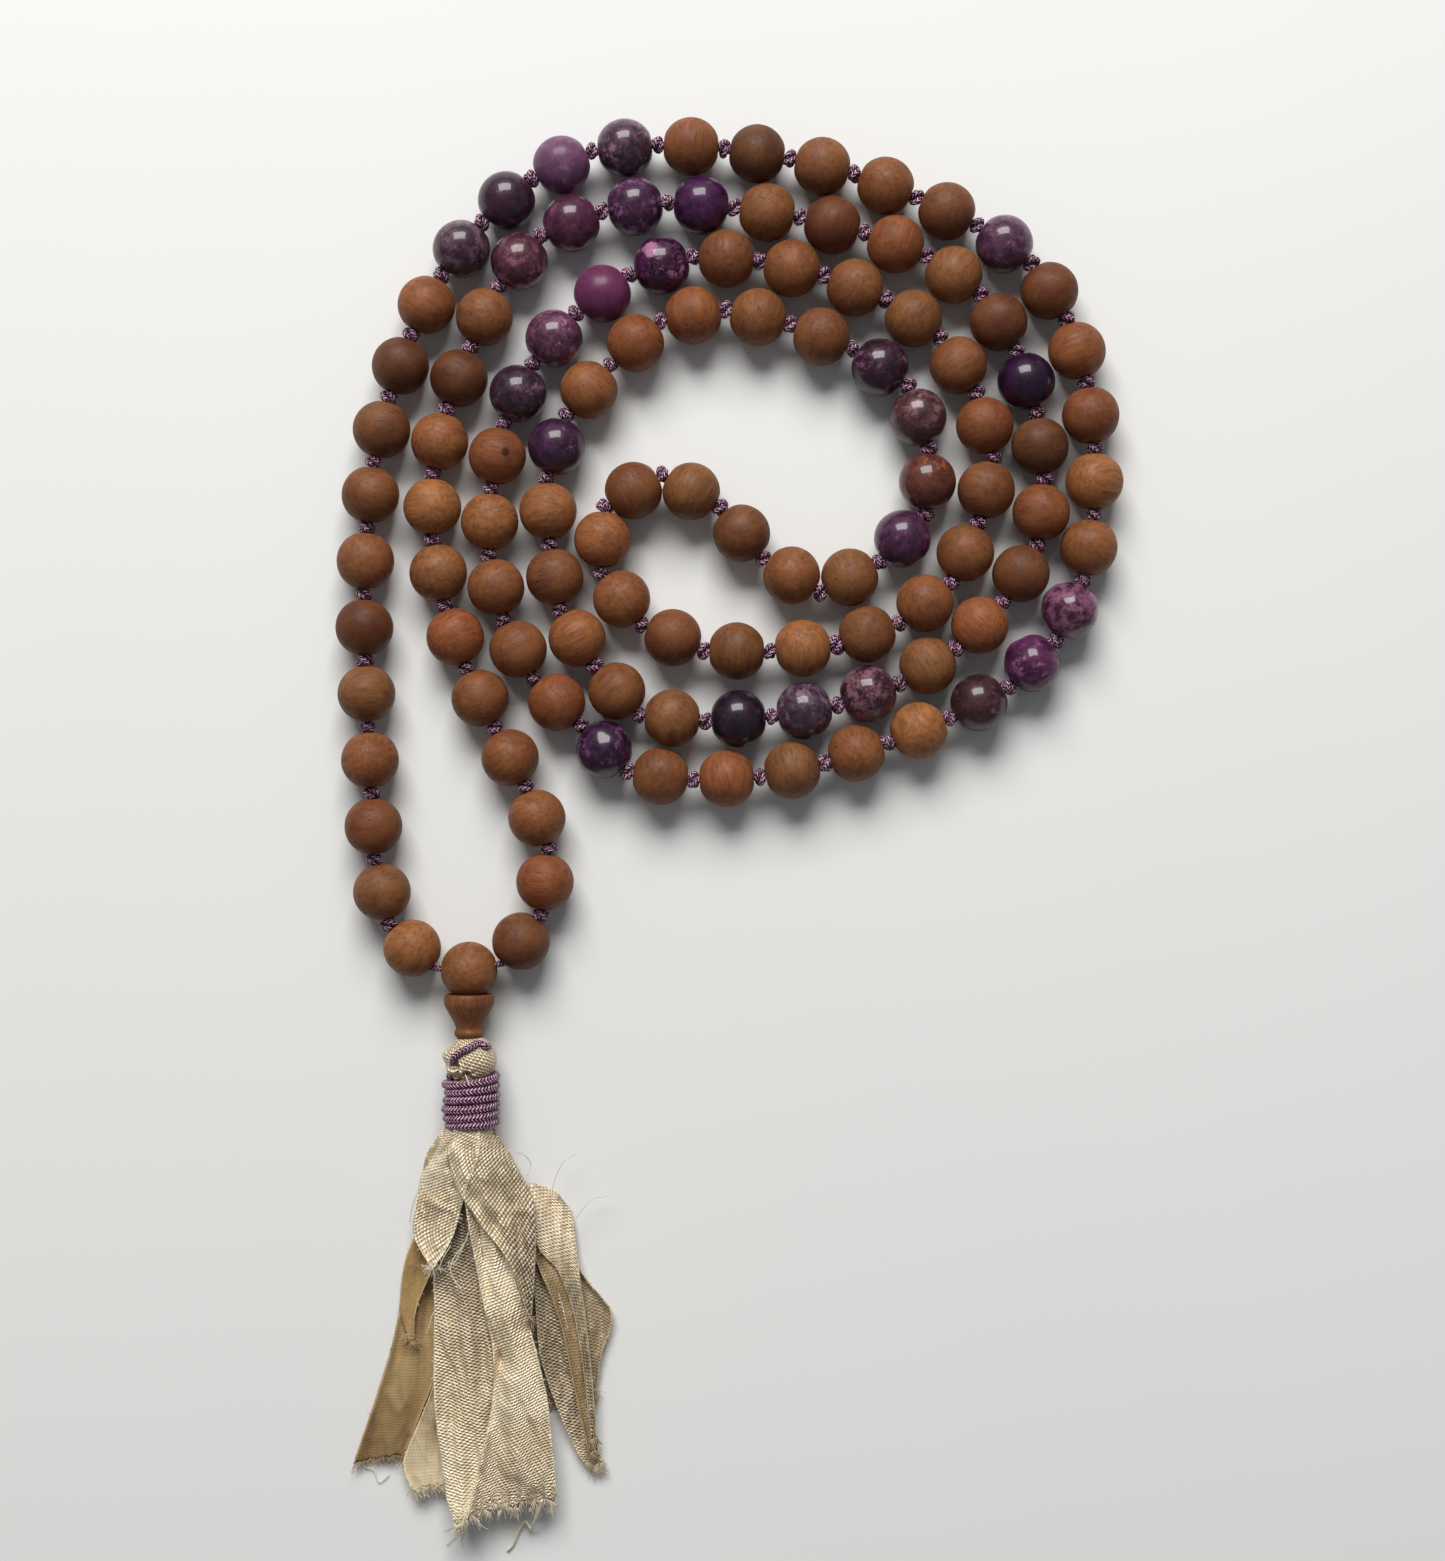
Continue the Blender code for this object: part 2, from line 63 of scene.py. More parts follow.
# The strand's route: knot number, x and y.
ROUTE = [
    (0, -0.0405, -0.0225), (1, -0.0480, -0.0165), (3, -0.0500, 0.0025), (9, -0.0480, 0.0590),
    (12, -0.0355, 0.0850), (14, -0.0195, 0.0950), (16, -0.0005, 0.0945), (19, 0.0270, 0.0870),
    (21, 0.0435, 0.0775), (24, 0.0515, 0.0515), (27, 0.0455, 0.0245), (30, 0.0220, 0.0105),
    (34, -0.0130, 0.0080), (37, -0.0315, 0.0275), (40, -0.0325, 0.0555), (44, -0.0045, 0.0790),
    (46, 0.0140, 0.0760), (48, 0.0305, 0.0675), (50, 0.0370, 0.0505), (52, 0.0310, 0.0335),
    (55, 0.0060, 0.0235), (57, -0.0115, 0.0270), (59, -0.0175, 0.0435), (60, -0.0095, 0.0475),
    (63, 0.0130, 0.0320), (65, 0.0275, 0.0430), (67, 0.0250, 0.0610), (71, -0.0095, 0.0700),
    (74, -0.0260, 0.0475), (78, -0.0115, 0.0155), (80, 0.0060, 0.0145), (83, 0.0315, 0.0240),
    (85, 0.0430, 0.0380), (89, 0.0355, 0.0735), (92, 0.0100, 0.0845), (96, -0.0265, 0.0825),
    (99, -0.0395, 0.0575), (102, -0.0400, 0.0300), (107, -0.0265, -0.0135), (108, -0.0320, -0.0210),
]
SETTLE_ROUNDS = 400
FOLLOW_SHARE = 0.04  # how far knots go back to the route in the first round; it falls to nothing
FOLLOW_UNTIL = 0.75  # at this share of the rounds
CLEAR = 2 * BEAD_RADIUS + GAP
CLEAR_ON_CORD = 2 * BEAD_RADIUS + GAP_ON_CORD


def route_curve():
    """The place of every knot, read from one smooth curve through the route's points."""
    number = np.array([row[0] for row in ROUTE], float)
    point = np.array([row[1:] for row in ROUTE])
    span = np.diff(number)[:, None]
    slope = np.diff(point, axis=0) / span
    tangent = np.empty_like(point)
    tangent[1:-1] = (slope[:-1] * span[1:] + slope[1:] * span[:-1]) / (span[:-1] + span[1:])
    tangent[0] = 1.5 * slope[0] - 0.5 * tangent[1]
    tangent[-1] = 1.5 * slope[-1] - 0.5 * tangent[-2]
    knots = []
    for knot in range(BEADS + 1):
        i = min(int(np.searchsorted(number, knot, side="right")) - 1, len(span) - 1)
        h = span[i, 0]
        u = (knot - number[i]) / h
        knots.append(
            (2 * u**3 - 3 * u**2 + 1) * point[i]
            + (u**3 - 2 * u**2 + u) * h * tangent[i]
            + (3 * u**2 - 2 * u**3) * point[i + 1]
            + (u**3 - u**2) * h * tangent[i + 1]
        )
    return np.array(knots)


def even_out(knots):
    """Brings every two neighbouring knots to one pitch apart."""
    for start in (0, 1):
        a = np.arange(start, BEADS, 2)
        step = knots[a + 1] - knots[a]
        length = np.hypot(step[:, 0], step[:, 1])[:, None]
        move = step * (1 - PITCH / length) / 2
        knots[a] += move
        knots[a + 1] -= move


def limit_bends(knots):
    """Opens any bend at which two beads next to each other on the cord would meet."""
    reach = knots[2:] - knots[:-2]
    length = np.hypot(reach[:, 0], reach[:, 1])
    for i in np.flatnonzero(length < 2 * CLEAR_ON_CORD):
        move = reach[i] * (2 * CLEAR_ON_CORD / length[i] - 1) / 2
        knots[i] -= move
        knots[i + 2] += move


def part_beads(knots):
    """Pushes apart beads of neighbouring strands, and beads and the guru bead, where they would meet."""
    centres = np.vstack([(knots[1:] + knots[:-1]) / 2, GURU.xy])
    apart = centres[None] - centres[:, None]
    distance = np.hypot(apart[..., 0], apart[..., 1])
    np.fill_diagonal(distance, 1.0)
    for i, j in np.argwhere(np.triu(distance < CLEAR)):
        if j < BEADS and j - i == 1:
            continue
        move = apart[i, j] * (CLEAR / distance[i, j] - 1) / 2
        knots[i : i + 2] -= move
        if j < BEADS:
            knots[j : j + 2] += move


def lay_strand():
    """The place of each knot with the strand at rest: evenly spaced, and no beads meeting."""
    target = route_curve()
    knots = target.copy()
    for step in range(SETTLE_ROUNDS):
        follow = FOLLOW_SHARE * max(0.0, 1 - step / (FOLLOW_UNTIL * SETTLE_ROUNDS))
        knots += follow * (target - knots)
        even_out(knots)
        limit_bends(knots)
        part_beads(knots)
    return knots


KNOTS = lay_strand()


def knot_point(knot):
    return Vector((*KNOTS[knot], AXIS_Z))


def bead_axis(bead):
    return (knot_point(bead) - knot_point(bead - 1)).normalized()


def bead_centre(bead):
    return (knot_point(bead) + knot_point(bead - 1)) / 2


def knot_axis(knot):
    before, after = max(knot, 1), min(knot + 1, BEADS)
    return (bead_axis(before) + bead_axis(after)).normalized()


# Which CAD node and body each bead belongs to.
STONE_GROUPS = [
    (12, 15), (21, 21), (27, 29), (35, 35), (41, 44), (65, 68), (74, 74), (80, 82), (88, 88), (94, 97),
]
STONE_BEADS = [bead for first, last in STONE_GROUPS for bead in range(first, last + 1)]
# First and last wood bead of each run, and the last stone on the same length of cord.
WOOD_RUNS = [
    (7, 11, 15), (16, 20, 21), (22, 26, 29), (30, 34, 35), (36, 40, 44), (45, 54, 54), (55, 63, 63),
    (64, 64, 68), (69, 73, 74), (75, 79, 82), (83, 87, 88), (89, 93, 97), (98, 102, 102),
]
INNER_RUN = 7
PENDANT_BEADS = 6


def run_of(bead):
    for index, (first, _, last_stone) in enumerate(WOOD_RUNS, start=1):
        if first <= bead <= last_stone:
            return index
    return 0


def pendant_body(number):
    """The body of a pair of pendant beads, counted from the guru bead."""
    return f"pendant_link_{PENDANT_BEADS + 1 - number}" if number > 1 else "guru_link"


def place_of(bead):
    """The CAD node and the body of a bead."""
    if bead in STONE_BEADS:
        name = f"stone_bead_{STONE_BEADS.index(bead) + 1:02d}"
        return name, name
    if bead <= PENDANT_BEADS:
        return f"wood_bead_left_{bead}", pendant_body(bead)
    if bead > BEADS - PENDANT_BEADS:
        number = BEADS + 1 - bead
        return f"wood_bead_right_{number}", pendant_body(number)
    run = run_of(bead)
    return f"wood_run_{run:02d}", "coil_end" if run == INNER_RUN else "strand"


# ---- camera, light and floor ----------------------------------------------------------------------------

CAMERA_TARGET = Vector((-0.0008, 0.0052, AXIS_Z))
CAMERA_HEIGHT = 0.35
LENS = 57.3
KEY_DISTANCE = 1.0
KEY_TILT = math.radians(47)  # from straight up, towards +Y
KEY_ASIDE = -0.09
KEY_SIZE = (0.72, 0.50)
KEY_POWER = 13.1
KEY_COLOUR = (1.0, 0.985, 0.965)
FILL_COLOUR = (0.93, 0.97, 1.0, 1.0)
FILL_STRENGTH = 0.17
FLOOR_REACH = 1.5


def new_object(name, data):
    made = bpy.data.objects.new(name, data)
    bpy.context.scene.collection.objects.link(made)
    return made


def add_camera():
    data = bpy.data.cameras.new("camera")
    data.lens = LENS
    data.clip_start = 0.01
    camera = new_object("camera", data)
    camera.location = CAMERA_TARGET + Vector((0, 0, CAMERA_HEIGHT))
    bpy.context.scene.camera = camera


def add_key_light():
    data = bpy.data.lights.new("key_light", "AREA")
    data.shape = "RECTANGLE"
    data.size, data.size_y = KEY_SIZE
    data.energy = KEY_POWER
    data.color = KEY_COLOUR
    place = Vector((KEY_ASIDE, math.sin(KEY_TILT), math.cos(KEY_TILT))) * KEY_DISTANCE
    light = new_object("key_light", data)
    light.location = place
    light.rotation_euler = (CAMERA_TARGET - place).to_track_quat("-Z", "Y").to_euler()


def add_soft_fill():
    world = bpy.data.worlds.new("soft_fill")
    world.use_nodes = True
    background = world.node_tree.nodes["Background"].inputs
    background["Color"].default_value = FILL_COLOUR
    background["Strength"].default_value = FILL_STRENGTH
    bpy.context.scene.world = world
    bpy.context.scene.view_settings.view_transform = "Standard"


def make_floor(material):
    ends = (-FLOOR_REACH, FLOOR_REACH)
    mesh = grid_mesh("floor", [[(x, y, 0) for y in ends] for x in ends])
    mesh.materials.append(material)
    new_object("floor", mesh)


# ---- mesh helpers ---------------------------------------------------------------------------------------


def add_piece(name, mesh, material, body, nodes=(), place=None):
    """A visible piece: it rides on a CAD body and stands for the CAD nodes named, which it hides."""
    made = new_object(name, mesh)
    mesh.materials.append(material)
    if place is not None:
        made.matrix_world = place
    if nodes:
        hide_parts(*nodes)
    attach(made, body)
    return made


def applied(made, helpers=()):
    """The mesh of an object with its modifiers carried out; the object and its helpers are removed."""
    bpy.context.view_layer.update()
    result = bpy.data.meshes.new_from_object(made.evaluated_get(bpy.context.evaluated_depsgraph_get()))
    for used in (*helpers, made):
        bpy.data.objects.remove(used, do_unlink=True)
    result.shade_smooth()
    return result


def grid_mesh(name, rows, closed_rows=False, closed_columns=False, lay=None, caps=False, tone=None):
    """A mesh over a grid of points.

    lay gives each point's place on the cloth or cord, for its weave, and tone how bright the cloth is there,
    its own shade with painted light and shade, both from the point's row and column.
    """
    rows = np.asarray(rows, float)
    count, sides = rows.shape[:2]
    row_steps = count if closed_rows else count - 1
    column_steps = sides if closed_columns else sides - 1
    faces, corners = [], []
    for i in range(row_steps):
        for j in range(column_steps):
            here = [(i, j), (i + 1, j), (i + 1, j + 1), (i, j + 1)]
            faces.append([(a % count) * sides + b % sides for a, b in here])
            corners += here
    if caps:
        faces.append(list(range(sides)))
        faces.append([(count - 1) * sides + j for j in reversed(range(sides))])
        corners += [(0, j) for j in range(sides)] + [(count - 1, j) for j in reversed(range(sides))]
    mesh = bpy.data.meshes.new(name)
    mesh.from_pydata(rows.reshape(-1, 3).tolist(), [], faces)
    for layer, values in (("weave", lay), ("tone", tone)):
        if values is not None:
            flat = np.array([values(a, b) for a, b in corners], np.float32)
            mesh.uv_layers.new(name=layer).data.foreach_set("uv", flat.reshape(-1))
    mesh.shade_smooth()
    return mesh


def outward(mesh):
    """Turns a closed mesh's faces to look outwards."""
    shape = bmesh.new()
    shape.from_mesh(mesh)
    bmesh.ops.recalc_face_normals(shape, faces=shape.faces)
    shape.to_mesh(mesh)
    shape.free()
    return mesh


def join_meshes(name, meshes):
    """One mesh of several, with their weave coordinates kept."""
    shape = bmesh.new()
    for mesh in meshes:
        shape.from_mesh(mesh)
    made = bpy.data.meshes.new(name)
    shape.to_mesh(made)
    shape.free()
    made.shade_smooth()
    return made


def frames_along(points, closed=False):
    """For each point of a line: its direction, and two across it that turn as little as they can."""
    points = np.asarray(points, float)
    if closed:
        ahead = np.roll(points, -1, axis=0) - np.roll(points, 1, axis=0)
    else:
        ahead = np.gradient(points, axis=0)
    ahead /= np.linalg.norm(ahead, axis=1)[:, None]
    side = np.cross(ahead[0], (0, 0, 1.0))
    if np.linalg.norm(side) < 0.1:
        side = np.cross(ahead[0], (0, 1.0, 0))
    across = []
    for direction in ahead:
        side = side - direction * side.dot(direction)
        side = side / np.linalg.norm(side)
        across.append(side)
    across = np.array(across)
    return ahead, across, np.cross(ahead, across)


def tube_mesh(name, points, radius, sides, closed=False):
    """A tube round a line of points. Its weave coordinates are metres along it and the share of a turn."""
    points = np.asarray(points, float)
    ahead, across, up = frames_along(points, closed)
    twist = 0.0
    if closed:  # brings the last ring round to meet the first
        end = np.cross(ahead[-1], across[-1])
        twist = math.atan2(across[0].dot(end), across[0].dot(across[-1]))
    radius = np.broadcast_to(radius, len(points))
    turns = np.arange(sides) * math.tau / sides
    rows = []
    for i in range(len(points)):
        angle = turns + twist * i / len(points)
        ring = np.outer(np.cos(angle), across[i]) + np.outer(np.sin(angle), up[i])
        rows.append(points[i] + radius[i] * ring)
    steps = np.linalg.norm(np.diff(points, axis=0, append=points[:1]), axis=1)
    along = np.concatenate([[0.0], np.cumsum(steps)])
    mesh = grid_mesh(
        name, rows, closed_rows=closed, closed_columns=True, caps=not closed,
        lay=lambda a, b: (along[a], b / sides),
    )
    return outward(mesh)


def turned_mesh(name, profile, sides, closed=False):
    """A mesh turned about its local X axis, from (distance along it, radius)."""
    turns = np.arange(sides) * math.tau / sides
    rows = [[(along, r * math.cos(t), r * math.sin(t)) for t in turns] for along, r in profile]
    return outward(grid_mesh(name, rows, closed_rows=closed, closed_columns=True, caps=not closed))


def rng_for(*words):
    """A random generator of its own for each piece, so that a change to one leaves the others alone."""
    return np.random.default_rng(sum(ord(c) * (i + 7) for i, c in enumerate("/".join(map(str, words)))))


# ---- materials --------------------------------------------------------------------------------------------


def new_material(name):
    material = bpy.data.materials.new(name)
    material.use_nodes = True
    tree = material.node_tree
    return material, tree, tree.nodes["Principled BSDF"]


def fill(tree, made, inputs):
    """Links or sets a shader node's inputs."""
    for key, value in inputs.items():
        if isinstance(value, bpy.types.NodeSocket):
            tree.links.new(value, made.inputs[key])
        else:
            made.inputs[key].default_value = value


def node(tree, kind, inputs=None, **settings):
    """A shader node with its settings and inputs."""
    made = tree.nodes.new("ShaderNode" + kind)
    for key, value in settings.items():
        setattr(made, key, value)
    fill(tree, made, inputs or {})
    return made


def colour(red, green, blue):
    """A linear colour from one in sRGB, 0 to 255."""
    parts = [c / 255 for c in (red, green, blue)]
    return (*[c / 12.92 if c <= 0.04045 else ((c + 0.055) / 1.055) ** 2.4 for c in parts], 1.0)


def mix(tree, factor, a, b, blend="MIX"):
    return node(tree, "Mix", {0: factor, 6: a, 7: b}, data_type="RGBA", blend_type=blend).outputs[2]


def maths(tree, operation, a, b=0.0):
    return node(tree, "Math", {0: a, 1: b}, operation=operation).outputs[0]


def plus(tree, a, b):
    return maths(tree, "ADD", a, b)


def minus(tree, a, b):
    return maths(tree, "SUBTRACT", a, b)


def times(tree, a, b):
    return maths(tree, "MULTIPLY", a, b)


def remap(tree, value, low, high, to_low=0.0, to_high=1.0):
    """value from low..high to to_low..to_high, eased at both ends."""
    inputs = {"Value": value, "From Min": low, "From Max": high, "To Min": to_low, "To Max": to_high}
    return node(tree, "MapRange", inputs, interpolation_type="SMOOTHSTEP").outputs["Result"]


def noise_texture(tree, place, seed, scale, detail=3.0, roughness=0.5, distortion=0.0):
    inputs = {
        "Vector": place, "W": seed, "Scale": scale, "Detail": detail, "Roughness": roughness,
        "Distortion": distortion,
    }
    return node(tree, "TexNoise", inputs, noise_dimensions="4D").outputs["Fac"]


def stretched(tree, place, scale):
    return node(tree, "Mapping", {"Vector": place, "Scale": scale}).outputs["Vector"]


def add_bump(tree, shader, height, distance, strength=1.0):
    made = node(tree, "Bump", {"Height": height, "Distance": distance, "Strength": strength})
    fill(tree, shader, {"Normal": made.outputs["Normal"]})


def look_inputs(tree):
    """A piece's own look, from its object colour: brightness, hue and seed."""
    info = node(tree, "ObjectInfo").outputs["Color"]
    parts = node(tree, "SeparateColor", {"Color": info}).outputs
    return parts["Red"], parts["Green"], times(tree, parts["Blue"], 60.0)


def own(tree, attribute, output="Color"):
    """A value of the piece's own, from its custom properties."""
    return node(tree, "Attribute", attribute_type="OBJECT", attribute_name=attribute).outputs[output]


def nearness(tree, place, centre, inside, outside, seed, wobble):
    """One at a spot of the surface, falling to nothing round it with an uneven edge."""
    far = node(tree, "VectorMath", {0: place, 1: centre}, operation="DISTANCE").outputs["Value"]
    uneven = noise_texture(tree, place, seed, 900, 3.0, 0.6)
    far = plus(tree, far, times(tree, minus(tree, uneven, 0.5), wobble))
    return remap(tree, far, inside, outside, 1.0, 0.0)


def wood_material(name, grain):
    """Sandalwood with a satin polish: growth bands, fine grain lines and short dark pores along them."""
    material, tree, shader = new_material(name)
    place = node(tree, "TexCoord").outputs["Object"]
    brightness, hue, seed = look_inputs(tree)
    dark = mix(tree, hue, colour(80, 40, 26), colour(80, 53, 34))
    light = mix(tree, hue, colour(156, 87, 51), colour(163, 106, 61))
    toned = mix(tree, brightness, dark, light)
    along_grain = stretched(tree, place, grain)
    lines = noise_texture(tree, along_grain, seed, 1700, 5.0, 0.65)
    bands = noise_texture(tree, along_grain, plus(tree, seed, 4.0), 520, 2.0, 0.5, 0.8)
    pores = remap(tree, noise_texture(tree, along_grain, seed, 4200, 2.0, 0.5), 0.58, 0.70)
    clouds = noise_texture(tree, place, seed, 230, 3.0, 0.55)
    for pattern, high, strength, tint in (
        (bands, 0.66, 0.26, (88, 50, 30)),
        (lines, 0.66, 0.50, (62, 34, 22)),
        (clouds, 0.70, 0.20, (172, 114, 68)),
    ):
        toned = mix(tree, remap(tree, pattern, 0.36, high, 0.0, strength), toned, colour(*tint))
    toned = mix(tree, times(tree, pores, 0.5), toned, colour(38, 21, 14))
    knot_mark = nearness(tree, place, own(tree, "mark", "Vector"), 0.00030, 0.00085, seed, 0.0007)
    toned = mix(tree, times(tree, knot_mark, 0.85), toned, colour(40, 20, 14))
    roughness = remap(tree, lines, 0.3, 0.7, 0.46, 0.60)
    fill(tree, shader, {"Base Color": toned, "Roughness": roughness, "Specular IOR Level": 0.22})
    height = minus(tree, times(tree, lines, 0.5), pores)
    add_bump(tree, shader, height, 0.00003, 0.5)
    return material


def stone_material(name, clearness, gloss):
    """Polished lepidolite: mottled purples with dark flecks, pale clouds and fine veins."""
    material, tree, shader = new_material(name)
    place = node(tree, "TexCoord").outputs["Object"]
    _, grain, seed = look_inputs(tree)
    broad = noise_texture(tree, place, seed, 260, 3.0, 0.55, 0.8)
    mottle = noise_texture(tree, place, plus(tree, seed, 7.0), 720, 5.0, 0.62, 0.5)
    fine = noise_texture(tree, place, plus(tree, seed, 3.0), 2400, 3.0, 0.6)
    flakes = node(tree, "TexVoronoi", {"Vector": place, "Scale": 1500.0}).outputs["Color"]
    flake = node(tree, "SeparateColor", {"Color": flakes}).outputs["Red"]
    toned = mix(tree, remap(tree, mottle, 0.34, 0.64), own(tree, "stone_dark"), own(tree, "stone_main"))
    toned = mix(tree, remap(tree, broad, 0.42, 0.66, 0.0, 0.5), toned, own(tree, "stone_dark"))
    share = own(tree, "stone_pale_share", "Fac")
    start = minus(tree, 0.72, times(tree, share, 0.34))
    blotch = plus(tree, times(tree, mottle, 0.4), times(tree, fine, 0.25))
    cloud = noise_texture(tree, place, plus(tree, seed, 19.0), 240, 3.0, 0.6, 1.2)
    blotch = plus(tree, blotch, times(tree, cloud, 0.5))
    clouded = remap(tree, blotch, start, plus(tree, start, 0.10))
    toned = mix(tree, clouded, toned, own(tree, "stone_pale"))
    ridge = maths(tree, "ABSOLUTE", minus(tree, cloud, 0.5))
    vein = remap(tree, ridge, 0.0, 0.018, 0.55, 0.0)
    toned = mix(tree, times(tree, vein, share), toned, own(tree, "stone_pale"))
    patch = nearness(tree, place, own(tree, "patch", "Vector"), 0.0008, 0.0016, seed, 0.0030)
    toned = mix(tree, patch, toned, own(tree, "stone_pale"))
    speck = times(tree, remap(tree, flake, 0.80, 0.95), grain)
    toned = mix(tree, times(tree, speck, 0.45), toned, colour(24, 16, 24))
    fill(tree, shader, {
        "Base Color": toned, "Roughness": 0.40, "Specular IOR Level": 0.20,
        "Coat Weight": gloss, "Coat Roughness": 0.09, "Coat IOR": 1.5,
    })
    if clearness:
        fill(tree, shader, {
            "Subsurface Weight": clearness, "Subsurface Radius": (1.0, 0.35, 0.9), "Subsurface Scale": 0.002,
        })
    add_bump(tree, shader, fine, 0.00001, 0.25)
    return material


CORD_STITCH = 0.00047  # one stitch of the braid along the cord
CORD_ROWS = 3  # zigzag rows round the cord


def cord_material():
    """Braided silk-like cord: rows of chevron stitches on dusty purple, with painted highlights on the
    stitches' crests and near-black painted shade in the grooves between them.
    """
    material, tree, shader = new_material("braided_cord")
    weave = node(tree, "UVMap", uv_map="weave").outputs["UV"]
    along_round = node(tree, "SeparateXYZ", {"Vector": weave}).outputs
    rows = times(tree, along_round["Y"], 2.0 * CORD_ROWS)
    zigzag = maths(tree, "PINGPONG", rows, 1.0)
    phase = plus(tree, times(tree, along_round["X"], 1 / CORD_STITCH), zigzag)
    stitch = maths(tree, "SINE", times(tree, phase, math.tau))
    rounded = maths(tree, "SINE", times(tree, zigzag, math.pi))
    place = node(tree, "TexCoord").outputs["Object"]
    uneven = noise_texture(tree, place, 0.0, 1500, 2.0)
    height = times(tree, remap(tree, stitch, -0.6, 0.9), maths(tree, "POWER", rounded, 0.4))
    # Painted highlights on the crests of the stitches.
    painted_glint = times(tree, remap(tree, stitch, 0.25, 0.70), maths(tree, "POWER", rounded, 0.6))
    painted_glint = times(tree, painted_glint, remap(tree, uneven, 0.30, 0.60, 0.25, 1.0))
    # Darker, to near black, in the grooves between the stitches: painted shade.
    base = mix(tree, remap(tree, stitch, -0.9, 0.0), colour(24, 2, 16), colour(98, 27, 74))
    toned = mix(tree, painted_glint, base, colour(255, 214, 240))
    fill(tree, shader, {"Base Color": toned, "Roughness": 0.42, "Specular IOR Level": 0.35})
    add_bump(tree, shader, height, 0.00009, 0.9)
    return material


def floor_material():
    material, tree, shader = new_material("floor")
    place = node(tree, "TexCoord").outputs["Object"]
    mottle = noise_texture(tree, place, 0.0, 12, 2.0)
    toned = mix(tree, mottle, (0.80, 0.81, 0.80, 1.0), (0.83, 0.83, 0.82, 1.0))
    fill(tree, shader, {"Base Color": toned, "Roughness": 0.8, "Specular IOR Level": 0.2})
    return material


# ---- beads ------------------------------------------------------------------------------------------------

BEAD_SKIN = 0.00005  # the polish, over the turned size
BEAD_SIDES = 36
BEAD_RINGS = 19
# A bead's bore and its eased edge, one half, from the inside out: distance from the middle and radius.
BORE_EDGE = [
    (0.00330, BORE_RADIUS), (0.00368, 0.00086), (0.00379, 0.00095), (0.00381, 0.00110), (0.00377, 0.00132),
]
EVEN_WITHIN = 0.0037  # a bead's lumps start this far from its middle
LUMPS_RISE = 0.0003  # and are at their full height this much further out
HIGHEST_LUMP = 0.0001
# Brightness and hue of the wood beads that stand out, by number; the others vary a little about the middle.
BRIGHT_BEADS = (1, 25, 30, 33, 39, 55, 59, 75, 77, 84, 100, 101, 103)
DARK_BEADS = (3, 6, 9, 10, 17, 20, 22, 57, 62, 85, 87, 89, 92, 99, 108)
GOLDEN_BEADS = (1, 2, 5, 25, 30, 32, 39, 48, 55, 56, 61, 64, 75, 79, 83, 90, 101, 102)
RED_BEADS = (3, 6, 22, 23, 24, 33, 36, 40, 50, 57, 71, 72, 84, 86, 89, 91, 92, 99, 103, 107)

# Stone beads by number: dark, main and pale colours in sRGB, the share that is pale, and how strong the dark
# specks are.
STONES = {
    12: ((44, 26, 39), (77, 52, 66), (108, 81, 94), 0.45, 1.0),
    13: ((41, 21, 36), (66, 36, 57), (103, 63, 93), 0.20, 0.3),
    14: ((94, 59, 86), (114, 74, 105), (135, 99, 128), 0.25, 0.2),
    15: ((42, 25, 36), (95, 62, 84), (145, 109, 133), 0.35, 1.0),
    21: ((54, 28, 47), (94, 56, 82), (134, 98, 124), 0.35, 0.6),
    27: ((48, 17, 34), (83, 39, 66), (125, 77, 103), 0.55, 0.7),
    28: ((51, 17, 46), (95, 38, 83), (138, 95, 120), 0.35, 0.3),
    29: ((40, 23, 27), (72, 41, 46), (115, 78, 85), 0.30, 1.0),
    35: ((33, 13, 34), (64, 31, 65), (114, 77, 111), 0.30, 1.0),
    41: ((35, 20, 31), (68, 42, 59), (112, 85, 105), 0.35, 1.0),
    42: ((62, 33, 50), (112, 65, 93), (159, 110, 139), 0.35, 0.5),
    43: ((92, 40, 73), (106, 50, 87), (127, 80, 109), 0.15, 0.1),
    44: ((33, 7, 30), (69, 21, 62), (164, 108, 141), 0.35, 0.7),
    65: ((48, 24, 44), (86, 42, 78), (132, 84, 122), 0.25, 0.6),
    66: ((69, 34, 30), (105, 55, 41), (145, 92, 68), 0.25, 0.3),
    67: ((56, 32, 35), (86, 51, 55), (123, 84, 90), 0.40, 0.6),
    68: ((34, 16, 27), (60, 32, 49), (115, 73, 98), 0.35, 1.0),
    74: ((34, 18, 33), (70, 35, 66), (126, 92, 116), 0.22, 1.0),
    80: ((16, 13, 20), (43, 24, 43), (81, 52, 79), 0.15, 0.8),
    81: ((47, 31, 44), (80, 55, 73), (120, 95, 111), 0.40, 1.0),
    82: ((41, 16, 25), (71, 37, 51), (123, 84, 95), 0.50, 0.5),
    88: ((26, 8, 30), (44, 16, 48), (69, 33, 74), 0.15, 0.3),
    94: ((37, 13, 39), (73, 27, 72), (109, 62, 112), 0.20, 0.5),
    95: ((45, 21, 42), (79, 40, 73), (136, 86, 123), 0.40, 0.9),
    96: ((56, 24, 42), (94, 45, 74), (134, 74, 109), 0.20, 0.2),
    97: ((56, 27, 34), (88, 48, 59), (137, 84, 109), 0.35, 0.5),
}
CLEAR_STONES = (14, 28, 43, 94, 96)
DULL_STONES = (14, 43)
GLOSS, DULL = 0.55, 0.12
# Spots on single beads: a knot in the wood or a pale patch in the stone, and how far right and up it lies.
SPOTS = {40: ("mark", 0.38, 0.02), 44: ("patch", -0.40, 0.42)}
LUMPY_STONES = {27: 0.00028, 28: 0.00020, 35: 0.00022}


